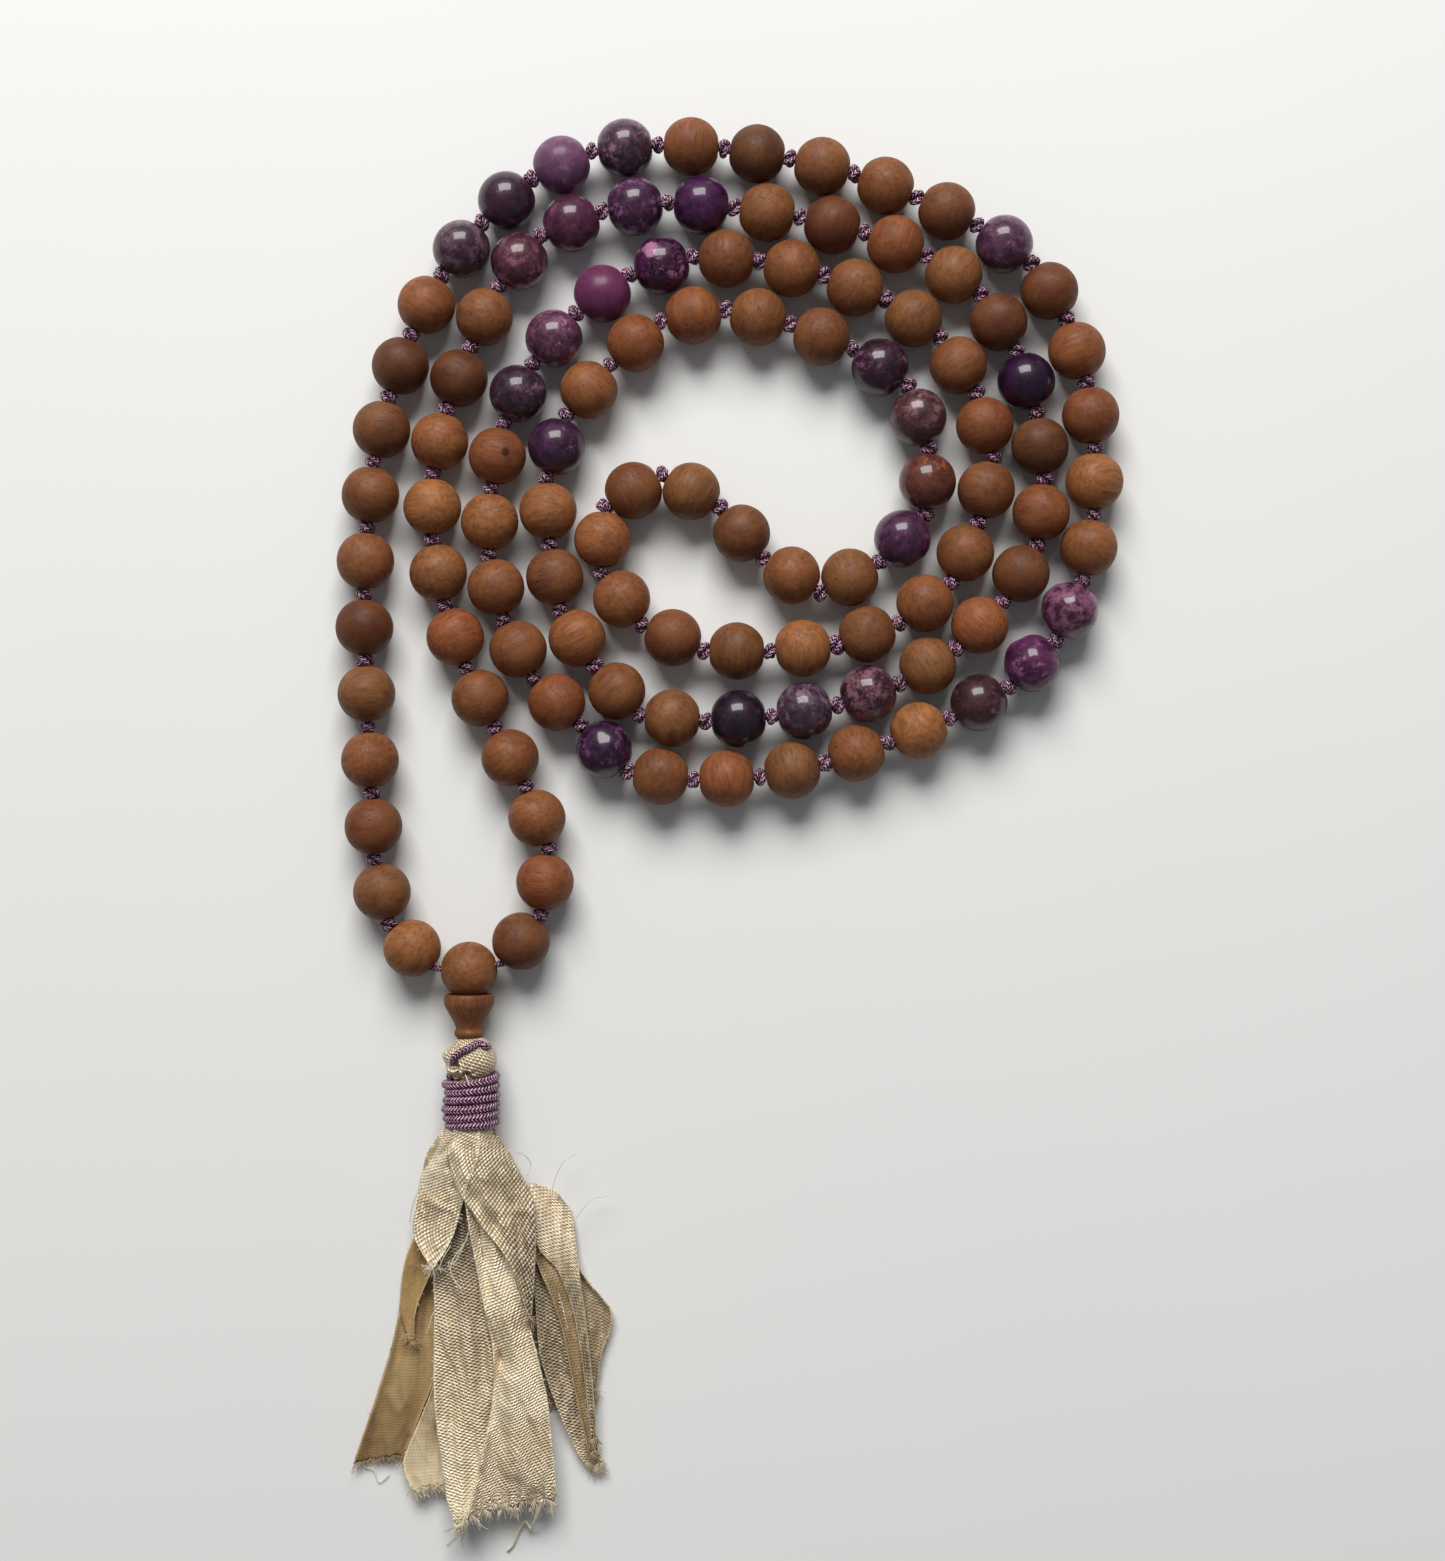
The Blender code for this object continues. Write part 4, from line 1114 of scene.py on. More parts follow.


# The strips by name, roughly from the lowest to the highest. Their bright and across values paint light and
# shade onto the cloth.
STRIPS = {
    "back_left": Strip(
        left=[(-38.9, -43.4), (-41.5, -50), (-43.6, -58), (-44.6, -66), (-46.0, -76), (-47.5, -86)],
        right=[(-36.6, -43.4), (-37.0, -50), (-37.0, -58), (-36.6, -66), (-36.6, -76), (-37.2, -85)],
        layer=0.03, bright=(0.05, 0.02, 0.05), gold=0.85, weave=20, ripples=3, depth=0.25,
        edges=(0.3, 0.2), across=0.0, satin=0.2,
    ),
    "back_right": Strip(
        left=[(-36.8, -43.4), (-36.4, -50), (-35.5, -58), (-33.5, -66), (-31.0, -76), (-29.0, -84)],
        right=[(-34.0, -43.4), (-30.6, -50), (-27.0, -58), (-24.4, -66), (-22.4, -76), (-21.0, -83)],
        layer=0.05, bright=(0.15, 0.05, 0.0), gold=0.5, weave=70, ripples=3, depth=0.25, edges=(0.2, 0.3),
        across=0.0, satin=0.6,
    ),
    "far_right": Strip(
        left=[(-26.0, -57), (-24.4, -61), (-22.6, -66), (-21.0, -72), (-20.2, -77), (-19.9, -82.5)],
        right=[(-24.5, -57), (-22.4, -61), (-20.5, -65.2), (-17.9, -68.3), (-16.5, -70.4), (-16.9, -73.2),
            (-17.9, -76.0), (-18.8, -82)],
        layer=0.10, bright=(0.14, 0.20, 0.18), gold=0.1, weave=35, ripples=1.5, depth=0.35,
        edges=(0.1, 0.5), satin=0.45, rag=0.7,
    ),
    "left_golden": Strip(
        left=[(-38.6, -50), (-43.2, -58), (-45.9, -64.5), (-46.6, -70), (-47.9, -75.8), (-48.7, -78.4),
            (-50.3, -83.5), (-53.1, -91.6)],
        right=[(-36.8, -50), (-40.0, -58), (-41.0, -64.5), (-41.3, -72), (-41.6, -79.0), (-43.6, -84.5),
            (-44.7, -87.5), (-45.8, -90.2)],
        layer=0.22, bright=(0.75, 0.75, 0.62, 0.38, 0.32, 0.12, 0.06), gold=0.88, weave=5, ripples=1.5,
        depth=0.40, edges=(0.6, 0.1), satin=0.15, rag=0.35,
    ),
    "left_pale": Strip(
        left=[(-39.5, -66), (-40.2, -73), (-41.6, -80), (-43.4, -84.8), (-44.4, -87.2), (-46.0, -91.5),
            (-44.9, -95.4)],
        right=[(-36.8, -66), (-37.8, -73), (-38.3, -80), (-38.8, -86.5), (-39.3, -91.0), (-40.0, -94.4)],
        layer=0.34, bright=(0.20, 0.22, 0.40, 0.80), gold=0.3, weave=60, ripples=1.2, depth=0.35,
        edges=(0.5, 0.1), satin=0.15, rag=0.6,
    ),
    "left_fold": Strip(
        left=[(-42.4, -56.5), (-44.6, -60.0), (-45.9, -63.5), (-46.5, -68.5), (-46.3, -71.0),
            (-45.6, -73.2)],
        right=[(-40.6, -57.5), (-41.2, -61.5), (-41.9, -64.2), (-43.2, -67.0), (-44.2, -70.0),
            (-44.5, -73.9)],
        layer=0.50, bright=(0.20, 0.26, 0.34), gold=1.0, weave=85, ripples=1.0, depth=0.50,
        edges=(-0.3, 0.9), satin=0.1,
    ),
    "right_low": Strip(
        left=[(-29.6, -57), (-28.2, -62), (-27.3, -68.5), (-26.6, -76), (-24.8, -82), (-22.4, -88),
            (-20.4, -92.0)],
        right=[(-28.0, -57), (-26.0, -62), (-23.6, -68.5), (-22.0, -76), (-20.6, -82), (-19.0, -88),
            (-17.8, -91.4)],
        layer=0.30, bright=(0.16, 0.16, 0.20, 0.75), gold=0.34, weave=35, ripples=1.2, depth=0.35,
        edges=(0.3, 0.3), satin=0.9,
    ),
    "right_inner_band": Strip(
        left=[(-28.4, -58), (-27.0, -63), (-25.0, -67.5), (-23.3, -73), (-22.1, -79), (-20.8, -85),
            (-19.7, -90)],
        right=[(-27.0, -57.5), (-24.6, -62.0), (-22.4, -67.0), (-20.9, -73), (-20.0, -79), (-19.3, -85),
            (-18.8, -89.6)],
        layer=0.46, bright=(0.15, 0.18, 0.20, 0.24), gold=0.75, weave=10, ripples=1.0, depth=0.30,
        edges=(0.7, 0.5), across=0.3, satin=0.3, rag=0.3,
    ),
    "right_pale": Strip(
        left=[(-28.2, -51.8), (-27.9, -56.5), (-26.7, -61.0), (-24.0, -64.0), (-22.0, -69.5),
            (-20.7, -76), (-19.8, -84), (-19.4, -88)],
        right=[(-24.1, -53.4), (-22.2, -56.6), (-21.4, -62.0), (-20.8, -66.5), (-20.2, -71), (-19.5, -77),
            (-18.9, -84), (-18.7, -88)],
        layer=0.62, bright=(1.3, 1.30, 0.50, 0.34, 0.24, 0.20), gold=0.12, weave=40, ripples=1.3,
        depth=0.30, edges=(0.2, 0.5), rag=0.6,
    ),
    "centre_left": Strip(
        left=[(-38.5, -47), (-40.6, -55), (-41.5, -62), (-41.4, -69), (-41.5, -76), (-41.3, -83),
            (-40.5, -90), (-39.7, -95.5), (-38.5, -99.2)],
        right=[(-35.6, -47), (-35.2, -55), (-34.4, -62), (-33.2, -69), (-32.2, -76), (-32.9, -83),
            (-33.6, -89), (-34.8, -94), (-37.0, -98.7)],
        layer=0.66, bright=(0.10, -0.10, -0.45, 0.25, 0.58, 0.70, 0.85, 1.1, 2.1, 2.1), gold=0.14,
        weave=18, ripples=2.2, depth=0.30, edges=(0.3, 0.4), across=-0.3,
    ),
    "centre": Strip(
        left=[(-37.2, -50), (-36.4, -57), (-35.3, -63.5), (-34.1, -69.5), (-33.0, -76), (-33.2, -82),
            (-34.2, -88), (-35.6, -94), (-36.9, -98.4)],
        right=[(-33.2, -50), (-32.2, -57), (-30.4, -63.5), (-28.7, -69.5), (-26.9, -76), (-25.6, -82),
            (-24.9, -88), (-24.5, -92), (-24.2, -95.8)],
        layer=0.80, bright=(1.3, 1.9, 2.1, 1.4, 0.95, 1.15, 2.1, 0.85, 0.70, 0.85), gold=0.08, weave=-8,
        ripples=1.6, depth=0.28, edges=(0.7, 0.3), across=-0.15, rag=1.1,
    ),
    "upper_right": Strip(
        left=[(-38.2, -43.4), (-39.2, -46.5), (-38.6, -50.0), (-36.9, -53.5), (-34.6, -57.2),
            (-31.6, -61.0), (-29.9, -64.5), (-28.9, -67.8), (-28.1, -70.2)],
        right=[(-33.2, -43.4), (-31.4, -46.5), (-29.2, -50.5), (-27.4, -54.5), (-27.1, -58.5),
            (-27.2, -62.5), (-27.4, -66.5), (-27.7, -70.2)],
        layer=1.0, bright=(0.9, 0.98, 0.90, 0.40, -0.02, 0.0), gold=0.14, weave=-38, ripples=2.4,
        depth=0.26, edges=(0.3, 0.2), across=-1.1, rag=0.3,
    ),
    "upper_left": Strip(
        left=[(-39.6, -43.4), (-42.1, -46.8), (-43.4, -50.8), (-44.1, -55), (-44.4, -58.2),
            (-43.4, -60.7), (-41.8, -62.9)],
        right=[(-34.8, -43.4), (-34.8, -47.0), (-36.3, -51.0), (-37.5, -54.8), (-38.6, -58.6),
            (-40.0, -61.2), (-41.3, -63.1)],
        layer=0.96, bright=(1.3, 1.70, 1.45, 0.65, 1.20, 1.50), gold=0.16, weave=-30, ripples=1.7,
        depth=0.26, edges=(0.2, 0.4), across=0.2, rag=0.4,
    ),
}
# The strips that stand for a solid of the CAD model.
SKIRT_NODES = {"centre": ["skirt_centre"], "left_golden": ["skirt_left"], "right_low": ["skirt_right"]}
STRIPS_START = -43.4
STRIP_COLUMNS = 34
STRIP_ROWS = 96
ON_TOP = 0.95  # the strips in a layer above this are torn from one cloth and share their creases
LAYER_GAP = 0.18  # between the lowest layer and the top one, over the bundle's own thickness, mm
HELD_LENGTH = 3.5  # the binding holds the strips flat for this far, mm
HEM_SHARE = 0.07  # the share of a strip's length that is its torn hem
HEM_STARTS = 0.93

# Folds that go through the whole bundle, mm: a line's two ends, the fold's width and its height.
FOLDS = [
    (-37.9, -44.3, -40.2, -47.3, 0.40, -0.75), (-38.6, -46.2, -41.2, -49.5, 0.80, 0.40),
    (-30.6, -47.0, -30.0, -54.0, 0.55, -0.45), (-30.0, -54.0, -28.7, -70.0, 0.50, -0.60),
    (-34.6, -44.5, -33.2, -55.0, 1.10, 0.45), (-37.9, -47.5, -36.0, -58.0, 0.45, 0.50),
    (-41.5, -50.0, -40.2, -59.0, 0.90, 0.45), (-42.8, -54.0, -39.0, -55.0, 0.45, 0.20),
    (-34.0, -71.0, -32.3, -76.5, 0.50, -0.95),
    (-32.3, -76.5, -33.4, -84.7, 0.45, -1.00), (-31.0, -72.0, -30.0, -90.0, 1.30, 0.60),
    (-36.8, -66.0, -35.6, -88.0, 1.30, 0.50), (-39.2, -74.0, -37.6, -92.0, 0.70, 0.45),
    (-38.6, -88.0, -37.9, -99.0, 0.90, 0.80), (-34.0, -86.0, -31.5, -96.0, 0.55, -0.35),
    (-27.6, -80.0, -26.0, -94.0, 0.80, 0.35), (-24.6, -54.0, -22.6, -66.0, 1.00, 0.50),
    (-42.4, -64.0, -43.2, -73.0, 0.60, -0.60), (-48.0, -82.0, -45.5, -87.0, 0.60, 0.35),
    (-22.0, -70.0, -20.6, -86.0, 0.40, 0.40),
]
FOLD_FADE = 0.2  # how far a fold goes on past its ends, as a share of its length
# Places where the cloth puffs up, mm: x and y, its reach in x and in y, and its height.
PUFFS = [
    (-31.6, -69.0, 2.4, 4.0, 1.40), (-37.6, -98.5, 2.0, 4.6, 1.60), (-36.4, -84.0, 2.6, 4.4, 0.90),
    (-24.0, -65.0, 2.6, 5.0, 1.30), (-40.8, -62.5, 2.0, 3.2, 1.10), (-28.6, -92.0, 3.0, 3.6, 0.90),
    (-35.5, -51.0, 2.2, 3.0, 0.50), (-20.2, -75.0, 2.4, 4.0, 0.80), (-49.5, -86.0, 3.0, 5.0, 0.60),
    (-29.6, -81.0, 2.2, 3.4, 0.80), (-38.6, -74.0, 2.0, 3.6, 0.80),
]
# Creases of handled silk: how many come in a mm across and down the cloth, their slant, and height in mm.
CREASES = [(0.55, 0.10, 0.0, 0.26), (0.42, 0.20, 0.3, 0.22), (0.80, 0.36, -0.3, 0.12)]
# Soft dents: their height in mm, how many come in a mm across and down the cloth, and a seed.
DENTS = [(0.50, 0.55, 0.14, 3.0), (0.14, 1.2, 0.5, 5.0), (0.06, 2.4, 2.0, 8.0)]


def through(points, count):
    """count points evenly spaced along one smooth curve through the given ones."""
    fine = smooth_profile(points, 12)
    steps = np.linalg.norm(np.diff(fine, axis=0), axis=1)
    along = np.concatenate([[0.0], np.cumsum(steps)])
    want = np.linspace(0, along[-1], count)
    return np.column_stack([np.interp(want, along, fine[:, axis]) for axis in range(fine.shape[1])])


def bundle_height(x, y, layer):
    """The height of a layer of the bundle, mm, at a place below the binding."""
    table = np.array(BUNDLE)[::-1]
    middle, half, thick = (np.interp(y, table[:, 0], table[:, column]) for column in (1, 2, 3))
    dome = math.sqrt(max(0.0, 1 - min(1.0, abs(x - middle) / half) ** 2))
    round_share = min(1.0, max(0.0, (y - ROUND_UNTIL) / (BUNDLE[1][0] - ROUND_UNTIL)))
    round_share = round_share**2 * (3 - 2 * round_share)
    low = AXIS_Z * 1000 - thick / 2 * dome
    bottom = FLOOR_CLEAR + (low - FLOOR_CLEAR) * round_share
    return bottom + layer * thick * dome


def relief(x, y):
    """How far the bundle's own folds and puffs lift or lower the cloth at a place, mm."""
    here = np.array([x, y])
    height = 0.0
    for x0, y0, x1, y1, width, rise in FOLDS:
        start, along = np.array([x0, y0]), np.array([x1 - x0, y1 - y0])
        share = (here - start).dot(along) / along.dot(along)
        share = min(1 + FOLD_FADE, max(-FOLD_FADE, share))
        fade = 1 - (max(0.0, share - 1, -share) / FOLD_FADE) ** 2
        far = np.linalg.norm(here - start - along * share)
        height += rise * fade * gauss(far, width)
    for x0, y0, half_x, half_y, rise in PUFFS:
        height += rise * gauss(math.hypot((x - x0) / half_x, (y - y0) / half_y), 1.0)
    return height


def crumple(x, y, shift):
    """The creases and small dents of handled silk, mm; most of them run down the cloth."""
    height = 0.0
    for across, down, slant, size in CREASES:
        place = Vector((x * across + y * slant * across, y * down, size * 40)) + shift
        height += size * max(0.0, 1 - abs(noise.noise(place)) * 2.6) ** 2
    for size, *place in DENTS:
        height += size * noise.noise(Vector((x * place[0], y * place[1], place[2])) + shift)
    return height


def strip_height(strip, x, y, ripple, shift):
    """The height of a strip at a place, mm, with the bundle's folds and the strip's ripple and creases."""
    free = min(1.0, max(0.0, (STRIPS_START - y) / HELD_LENGTH))
    height = bundle_height(x, y, strip.layer) + LAYER_GAP * strip.layer
    height += relief(x, y) * (0.4 + 0.6 * strip.layer) * free
    height += ripple
    return height + crumple(x, y, shift) * free * (0.45 + 0.55 * strip.satin)


def torn_hem(strip, x, share, shift):
    """How far the torn hem stands up or down at a place, mm."""
    tear = noise.noise(Vector((x * 1.7, 0, 7.0)) + shift)
    tear += 0.6 * noise.noise(Vector((x * 6, 0, 9)) + shift)
    return strip.rag * tear * 1.3 * (share - HEM_STARTS) / HEM_SHARE


def strip_rows(name, strip):
    """The sheet's grid of points and its two measures on the cloth, all in mm."""
    on_top = strip.layer > ON_TOP
    random = rng_for("strip", name.split("_")[0] if on_top else name)
    shift = Vector(random.uniform(-50, 50, 3))
    left, right = through(strip.left, STRIP_ROWS), through(strip.right, STRIP_ROWS)
    phase = random.uniform(0, math.tau)
    rows, lay = [], []
    down = 0.0
    for i in range(STRIP_ROWS):
        v = i / (STRIP_ROWS - 1)
        if i:
            down += np.linalg.norm((left[i] + right[i] - left[i - 1] - right[i - 1]) / 2)
        width = float(np.linalg.norm(right[i] - left[i]))
        wander = 0.9 * noise.noise(Vector((v * 2.5, 0, 0)) + shift)
        uneven = 0.75 + 0.5 * noise.noise(Vector((0, v * 4.0, 0)) + shift)
        depth = strip.depth * uneven * min(1.0, width / 4)
        if on_top:
            depth *= min(1.0, 2.5 * v)
        row, lay_row = [], []
        for j in range(STRIP_COLUMNS):
            u = j / (STRIP_COLUMNS - 1)
            x, y = left[i] + (right[i] - left[i]) * u
            ripple = depth * math.sin(math.tau * strip.ripples * (u + 0.12 * wander) + phase + wander)
            z = strip_height(strip, x, y, ripple, shift)
            z += strip.edges[0] * (1 - u) ** 9 + strip.edges[1] * u**9
            if v > HEM_STARTS:
                y += torn_hem(strip, x, v, shift)
            if u in (0, 1) and 0 < v < 1:
                x += 0.10 * strip.rag * noise.noise(Vector((0, y * 3.5, 11.0 + u)) + shift)
            row.append((x, y, max(z, FLOOR_CLEAR)))
            lay_row.append((u * width, down))
        rows.append(row)
        lay.append(lay_row)
    return np.array(rows), np.array(lay)


def solid_sheet(mesh):
    """The two faces and the rim of a thin cloth, from its middle surface."""
    made = new_object("sheet", mesh)
    thick = made.modifiers.new("thickness", "SOLIDIFY")
    thick.thickness = CLOTH_THICKNESS
    thick.offset = 0.0
    return applied(made)


def fibre_mesh(start, direction, length, radius, random, curl):
    """One broken thread that starts at a point of the cloth's edge and wanders."""
    points = [Vector(start)]
    heading = Vector(direction).normalized()
    steps = max(3, int(length / FIBRE_STEP))
    for _ in range(steps):
        heading = (heading + Vector((*random.normal(0, curl, 2), random.normal(0, curl * 0.4)))).normalized()
        new = points[-1] + heading * length / steps
        new.z = max(new.z - FIBRE_DROP, FIBRE_CLEAR)
        points.append(new)
    return tube_mesh("fibre", points, radius, THREAD_SIDES)


def make_fringe(name, rows, rag):
    """The thread along each of a strip's edges, and the short broken threads of its torn hem and edges."""
    random = rng_for("fringe", name)
    rows = rows / 1000
    meshes = [tube_mesh("edge", rows[:, side], EDGE_THREAD, THREAD_SIDES) for side in (0, -1)]
    hem = rows[-1]
    for _ in range(int(HEM_FIBRES * rag) + 8):
        at = random.integers(0, len(hem) - 1)
        share = random.uniform()
        start = hem[at] * share + hem[at + 1] * (1 - share)
        out = start - rows[-5][at] + np.array([random.normal(0, 0.0006), 0, random.uniform(-0.0002, 0.0004)])
        length = random.uniform(0.0003, 0.0011) + 0.0014 * random.uniform() ** 3
        meshes.append(fibre_mesh(start, out, length, random.uniform(0.00002, 0.00005), random, 0.16))
    for _ in range(int(EDGE_FIBRES * rag)):
        at = random.integers(4, len(rows) - 2)
        edge, inner = ((0, 2), (-1, -3))[random.integers(0, 2)]
        start = rows[at][edge]
        out = start - rows[at][inner] + np.array([0, -0.0003, 0])
        meshes.append(fibre_mesh(start, out, random.uniform(0.0002, 0.0007), 0.000035, random, 0.3))
    return join_meshes(f"{name}_fringe", meshes)


def along_weave(lay, degrees):
    """Places on the cloth, in metres, turned to the directions of its weave."""
    across, down = lay[..., 0] / 1000, lay[..., 1] / 1000
    cos, sin = math.cos(math.radians(degrees)), math.sin(math.radians(degrees))
    return np.stack([across * cos + down * sin, down * cos - across * sin], axis=-1)


def strip_tones(strip):
    """How bright a strip is at each point of its grid, as painted light and shade over its own shade: down
    it and across it, with a painted highlight where its torn edges catch the light.
    """
    steps = np.linspace(0, 1, len(strip.bright))
    down = np.interp(np.linspace(0, 1, STRIP_ROWS), steps, strip.bright)[:, None]
    across = np.linspace(0, 1, STRIP_COLUMNS)
    lit_edge = 0.45 * np.exp(-((np.minimum(across, 1 - across) / 0.03) ** 2))
    return down + strip.across * (across - 0.5) + lit_edge


def make_strip(name, strip, silk, thread):
    """A strip with the thread and fibres of its torn edges, which go with it."""
    rows, lay = strip_rows(name, strip)
    weave, tones = along_weave(lay, strip.weave), strip_tones(strip)
    mesh = grid_mesh(
        f"look_strip_{name}", rows / 1000,
        lay=lambda a, b: weave[a, b], tone=lambda a, b: (tones[a, b], 0.5),
    )
    nodes = SKIRT_NODES.get(name, [])
    made = add_piece(f"look_strip_{name}", solid_sheet(mesh), silk, "tassel", nodes)
    made.color = (0.0, strip.gold, rng_for("tint", name).uniform(), 1.0)
    fringe_mesh = make_fringe(name, rows, strip.rag)
    fringe = add_piece(f"look_fringe_{name}", fringe_mesh, thread, "tassel")
    # The fringe takes its hem's brightness, painted light and shade included.
    fringe.color = (strip.bright[-1], *made.color[1:])


# Long loose threads, mm: thickness, and the points that each goes through. A point is x, y and height, with
# None as its height where the thread lies on what is under it.
LOOSE_THREADS = [
    (0.14, [(-25.0, -54.6, 3.0), (-24.7, -51.9, 3.3), (-23.5, -48.9, 3.6), (-22.6, -48.1, 3.6),
            (-21.3, -47.4, 3.4)]),
    (0.14, [(-22.2, -57.8, 2.8), (-20.3, -55.0, 3.2), (-18.9, -53.7, 3.2), (-17.8, -53.6, 3.0),
            (-16.6, -53.1, 2.8)]),
    (0.11, [(-30.9, -46.6, 6.6), (-29.7, -46.8, 6.2), (-28.4, -47.6, 5.0), (-27.8, -49.0, 4.0),
            (-28.3, -50.4, 4.0)]),
    (0.11, [(-42.9, -51.6, 5.0), (-44.1, -53.6, 3.6), (-44.8, -55.6, 2.6), (-45.1, -57.4, 2.0)]),
    (0.09, [(-43.4, -57.6, 4.4), (-44.1, -58.7, 3.4), (-44.7, -60.1, 2.6)]),
    (0.15, [(-36.4, -58.2, None), (-37.1, -59.9, None), (-38.3, -61.5, None), (-38.9, -63.0, None),
            (-38.7, -64.4, None), (-37.8, -65.7, None), (-37.4, -66.0, None)]),
    (0.12, [(-36.6, -59.0, None), (-37.6, -61.0, None), (-38.5, -62.6, None), (-39.2, -62.3, None),
            (-39.0, -63.6, None)]),
    (0.11, [(-38.9, -60.0, None), (-39.7, -61.3, None), (-40.4, -62.9, None), (-40.2, -64.0, None)]),
    (0.12, [(-40.6, -68.4, None), (-41.6, -70.0, None), (-42.0, -71.4, None), (-42.6, -72.8, None)]),
    (0.13, [(-52.7, -91.5, None), (-51.6, -92.6, None), (-50.5, -93.0, None), (-49.8, -94.6, None),
            (-49.0, -94.3, None), (-48.3, -93.6, None)]),
    (0.10, [(-38.1, -98.9, None), (-38.0, -101.2, None), (-38.9, -102.4, None), (-40.1, -103.6, None)]),
    (0.10, [(-38.0, -99.6, None), (-37.7, -101.6, None), (-38.1, -102.8, None), (-37.8, -103.8, None)]),
    (0.08, [(-38.2, -99.8, None), (-39.1, -100.9, None), (-40.5, -101.5, None)]),
    (0.42, [(-26.2, -96.0, 4.6), (-26.6, -97.6, 3.6), (-27.4, -99.6, 2.4), (-28.0, -101.0, 1.2),
            (-28.8, -100.1, 0.9), (-29.7, -101.4, 0.5), (-30.6, -103.5, 0.3), (-31.4, -104.4, 0.3)]),
    (0.16, [(-36.6, -35.8, 8.0), (-36.3, -36.4, 8.4), (-36.0, -37.2, 8.5)]),
]
ON_FLOOR = 0.3  # the height of a thread on the floor, mm
ON_CLOTH = 0.75  # and above the bundle where it lies on the cloth
CLOTH_ENDS = (-46.0, -97.0)  # left of and below these a thread lies on the floor, mm
THREAD_COLOUR = (1.0, 0.05, 0.5, 1.0)  # brightness, gold and seed


def make_loose_threads(material):
    meshes = []
    for thickness, points in LOOSE_THREADS:
        line = []
        for x, y, z in points:
            if z is None:
                z = ON_FLOOR
                if y > CLOTH_ENDS[1] and x > CLOTH_ENDS[0]:
                    z = bundle_height(x, y, 1.0) + relief(x, y) + ON_CLOTH
            line.append((x / 1000, y / 1000, z / 1000))
        meshes.append(tube_mesh("thread", smooth_profile(line, 6), thickness / 2000, 6))
    mesh = join_meshes("look_loose_threads", meshes)
    made = add_piece("look_loose_threads", mesh, material, "tassel")
    made.color = THREAD_COLOUR


TWILL_PITCH = 0.00042  # one rib of the weave
YARNS_PER_RIB = 0.72  # across the ribs, in the length of one rib


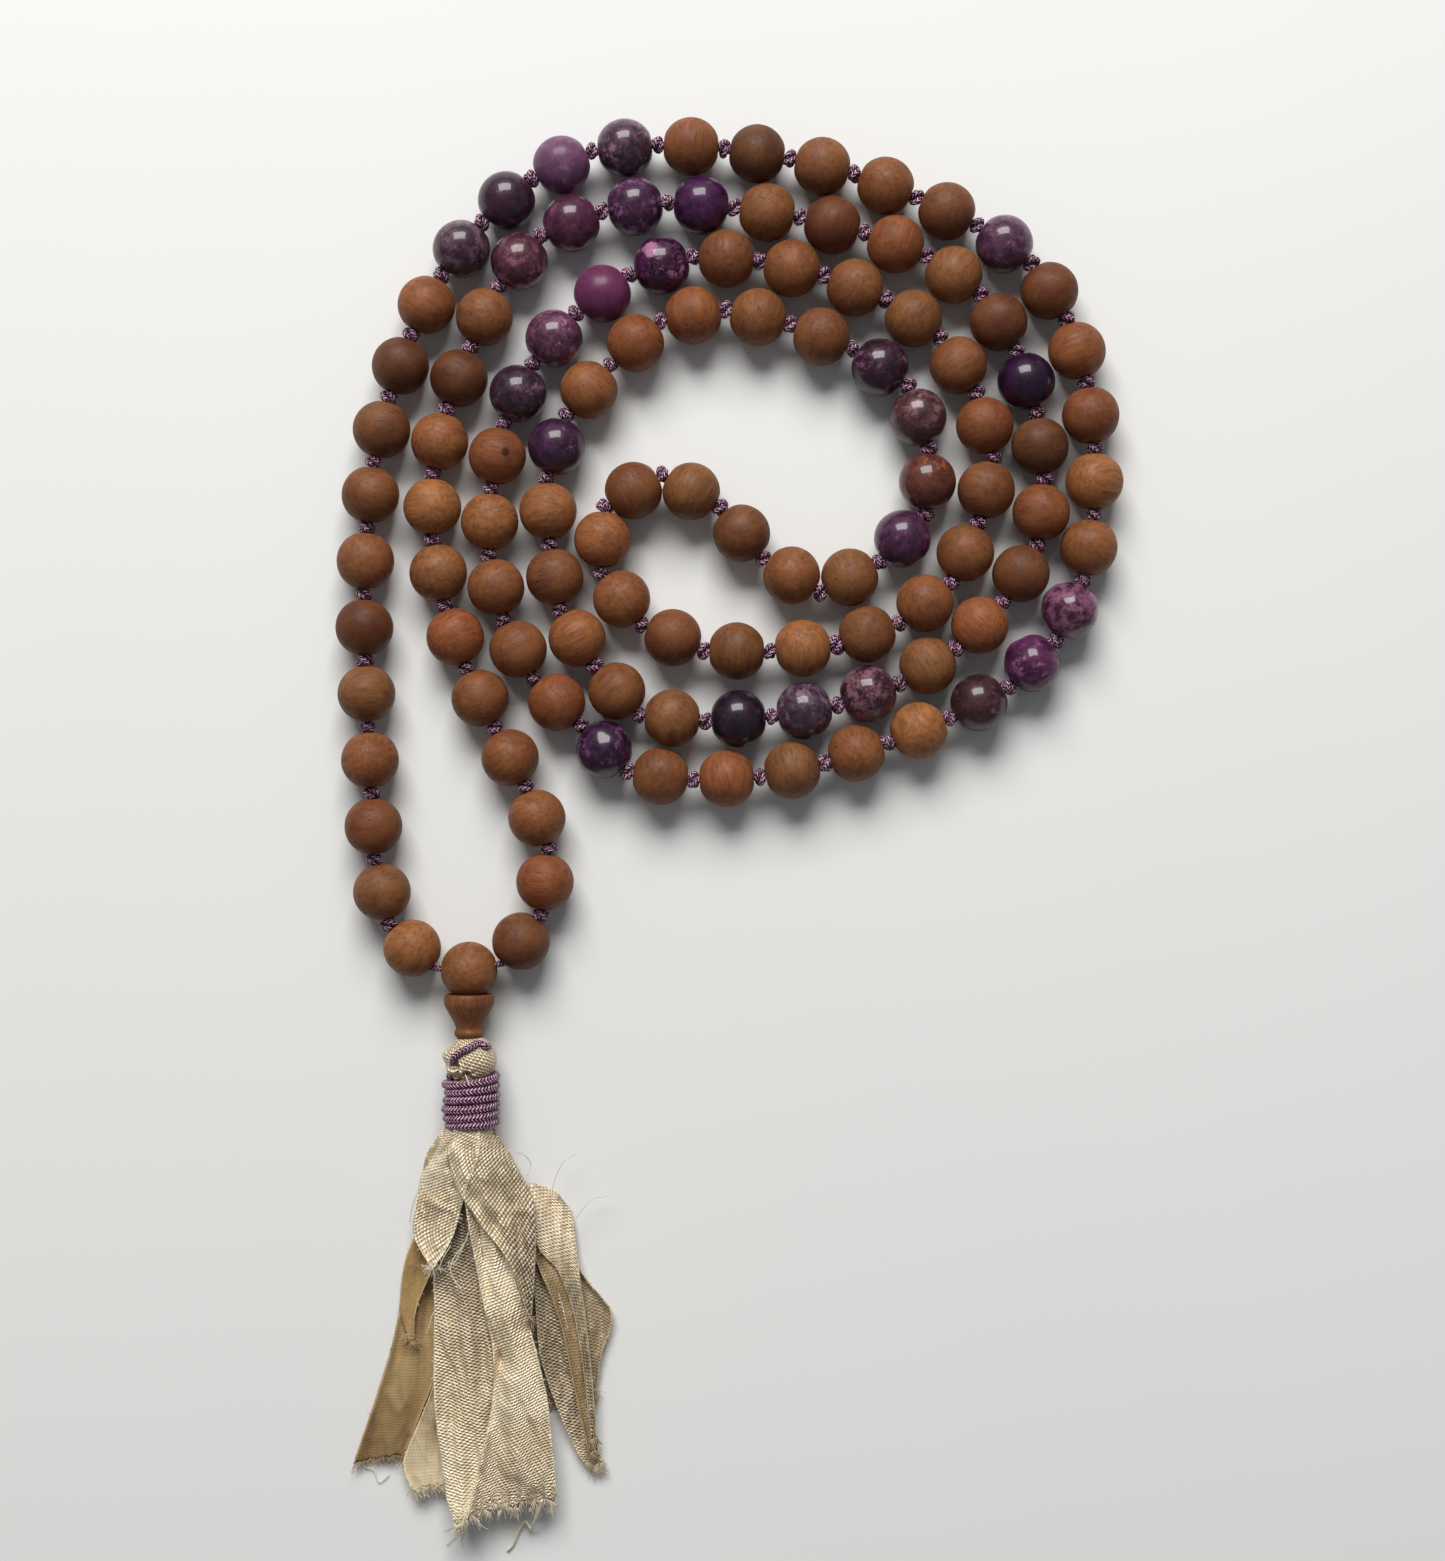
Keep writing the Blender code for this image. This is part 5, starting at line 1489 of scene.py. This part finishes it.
def silk_material(satin):
    """Raw silk, cream to golden brown, with slubs; its twill is painted as lit floats and shaded gaps,
    painted highlight and painted shade, with patches of painted sheen that grow with its satin.
    """
    material, tree, shader = new_material(f"raw_silk_{round(100 * satin):03d}")
    weave = node(tree, "UVMap", uv_map="weave").outputs["UV"]
    brightness, gold, seed = look_inputs(tree)
    tone = node(tree, "UVMap", uv_map="tone").outputs["UV"]
    # The strip's brightness with its tone map added: its own shade with painted light and shade.
    brightness = plus(tree, brightness, node(tree, "SeparateXYZ", {"Vector": tone}).outputs["X"])
    across_down = node(tree, "SeparateXYZ", {"Vector": weave}).outputs
    place = node(tree, "TexCoord").outputs["Object"]
    waver = noise_texture(tree, place, seed, 500, 2.0)
    ribs = plus(tree, times(tree, across_down["Y"], 1 / TWILL_PITCH), waver)
    rib = maths(tree, "SINE", times(tree, ribs, math.tau))
    yarns = times(tree, across_down["X"], YARNS_PER_RIB / TWILL_PITCH)
    yarns = plus(tree, yarns, times(tree, ribs, 0.5))
    yarn = maths(tree, "SINE", times(tree, yarns, math.tau))
    height = plus(tree, times(tree, rib, 0.55), times(tree, yarn, 0.45))
    dark = mix(tree, gold, colour(132, 112, 82), colour(132, 102, 60))
    light = mix(tree, gold, colour(255, 243, 212), colour(236, 202, 142))
    base = mix(tree, brightness, dark, light)
    clouds = noise_texture(tree, place, seed, 130, 4.0, 0.6)
    stain = mix(tree, 1.0, base, colour(222, 206, 180), "MULTIPLY")
    base = mix(tree, remap(tree, clouds, 0.42, 0.72, 0.0, 0.5), base, stain)
    slub = noise_texture(tree, place, plus(tree, seed, 5.0), 1100, 3.0, 0.6)
    # Patches of painted satin sheen.
    sheen_patches = noise_texture(tree, place, plus(tree, seed, 9.0), 170, 3.0, 0.55, 0.5)
    # Where the twill's floats take the painted highlight; elsewhere its gaps take painted shade.
    painted_glint = remap(tree, height, -0.50, 0.30)
    painted_glint = times(tree, painted_glint, remap(tree, slub, 0.32, 0.58, 0.45, 1.0))
    painted_sheen = remap(tree, sheen_patches, 0.38, 0.66, 0.60 * satin, satin)
    bloom = remap(tree, brightness, 0.3, 1.3, 0.62, 1.0)
    # Painted shade in the weave's gaps, fading where the cloth is painted brightest.
    shade = mix(tree, 1.0, base, colour(192, 168, 136), "MULTIPLY")
    shadowed = mix(tree, remap(tree, brightness, 0.8, 1.6, satin, 0.45 * satin), base, shade)
    lit = mix(tree, times(tree, painted_sheen, bloom), base, colour(255, 245, 219))
    fill(tree, shader, {
        "Base Color": mix(tree, painted_glint, shadowed, lit), "Roughness": 0.42, "Specular IOR Level": 0.9 * satin,
        "Metallic": 0.22 * satin, "Sheen Weight": 0.15, "Sheen Roughness": 0.4,
    })
    add_bump(tree, shader, times(tree, height, satin), 0.00011, 0.9)
    return material


def thread_material():
    """Loose silk threads, with painted shade in random patches along them."""
    material, tree, shader = new_material("silk_thread")
    brightness, gold, seed = look_inputs(tree)
    place = node(tree, "TexCoord").outputs["Object"]
    uneven = noise_texture(tree, place, seed, 1500, 2.0)
    light = mix(tree, gold, colour(246, 238, 216), colour(222, 190, 140))
    light = mix(tree, brightness, mix(tree, 0.6, light, colour(150, 124, 84)), light)
    shaded = mix(tree, 0.4, light, colour(150, 132, 104))
    fill(tree, shader, {"Base Color": mix(tree, uneven, shaded, light), "Roughness": 0.5})
    return material


def main():
    add_camera()
    add_key_light()
    add_soft_fill()
    make_floor(floor_material())
    wood = wood_material("sandalwood", (1.0, 1.0, 0.13))
    stem_wood = wood_material("stem_sandalwood", (0.13, 1.0, 1.0))
    cord, thread = cord_material(), thread_material()
    satins = {strip.satin for strip in STRIPS.values()} | {1.0}
    silks = {satin: silk_material(satin) for satin in sorted(satins)}
    materials = {
        "wood": wood,
        "stone": stone_material("lepidolite", 0.0, GLOSS),
        "clear_stone": stone_material("clear_lepidolite", 0.35, GLOSS),
        "dull_stone": stone_material("dull_lepidolite", 0.35, DULL),
    }
    make_strand_cords(cord)
    make_knots(cord)
    make_beads(materials)
    make_guru_bead(wood)
    make_stem_bead(stem_wood)
    make_tassel_cord(cord)
    make_cord_loop(cord)
    make_tassel_head(silks[1.0])
    make_binding(cord)
    for name, strip in STRIPS.items():
        make_strip(name, strip, silks[strip.satin], thread)
    make_loose_threads(thread)


main()
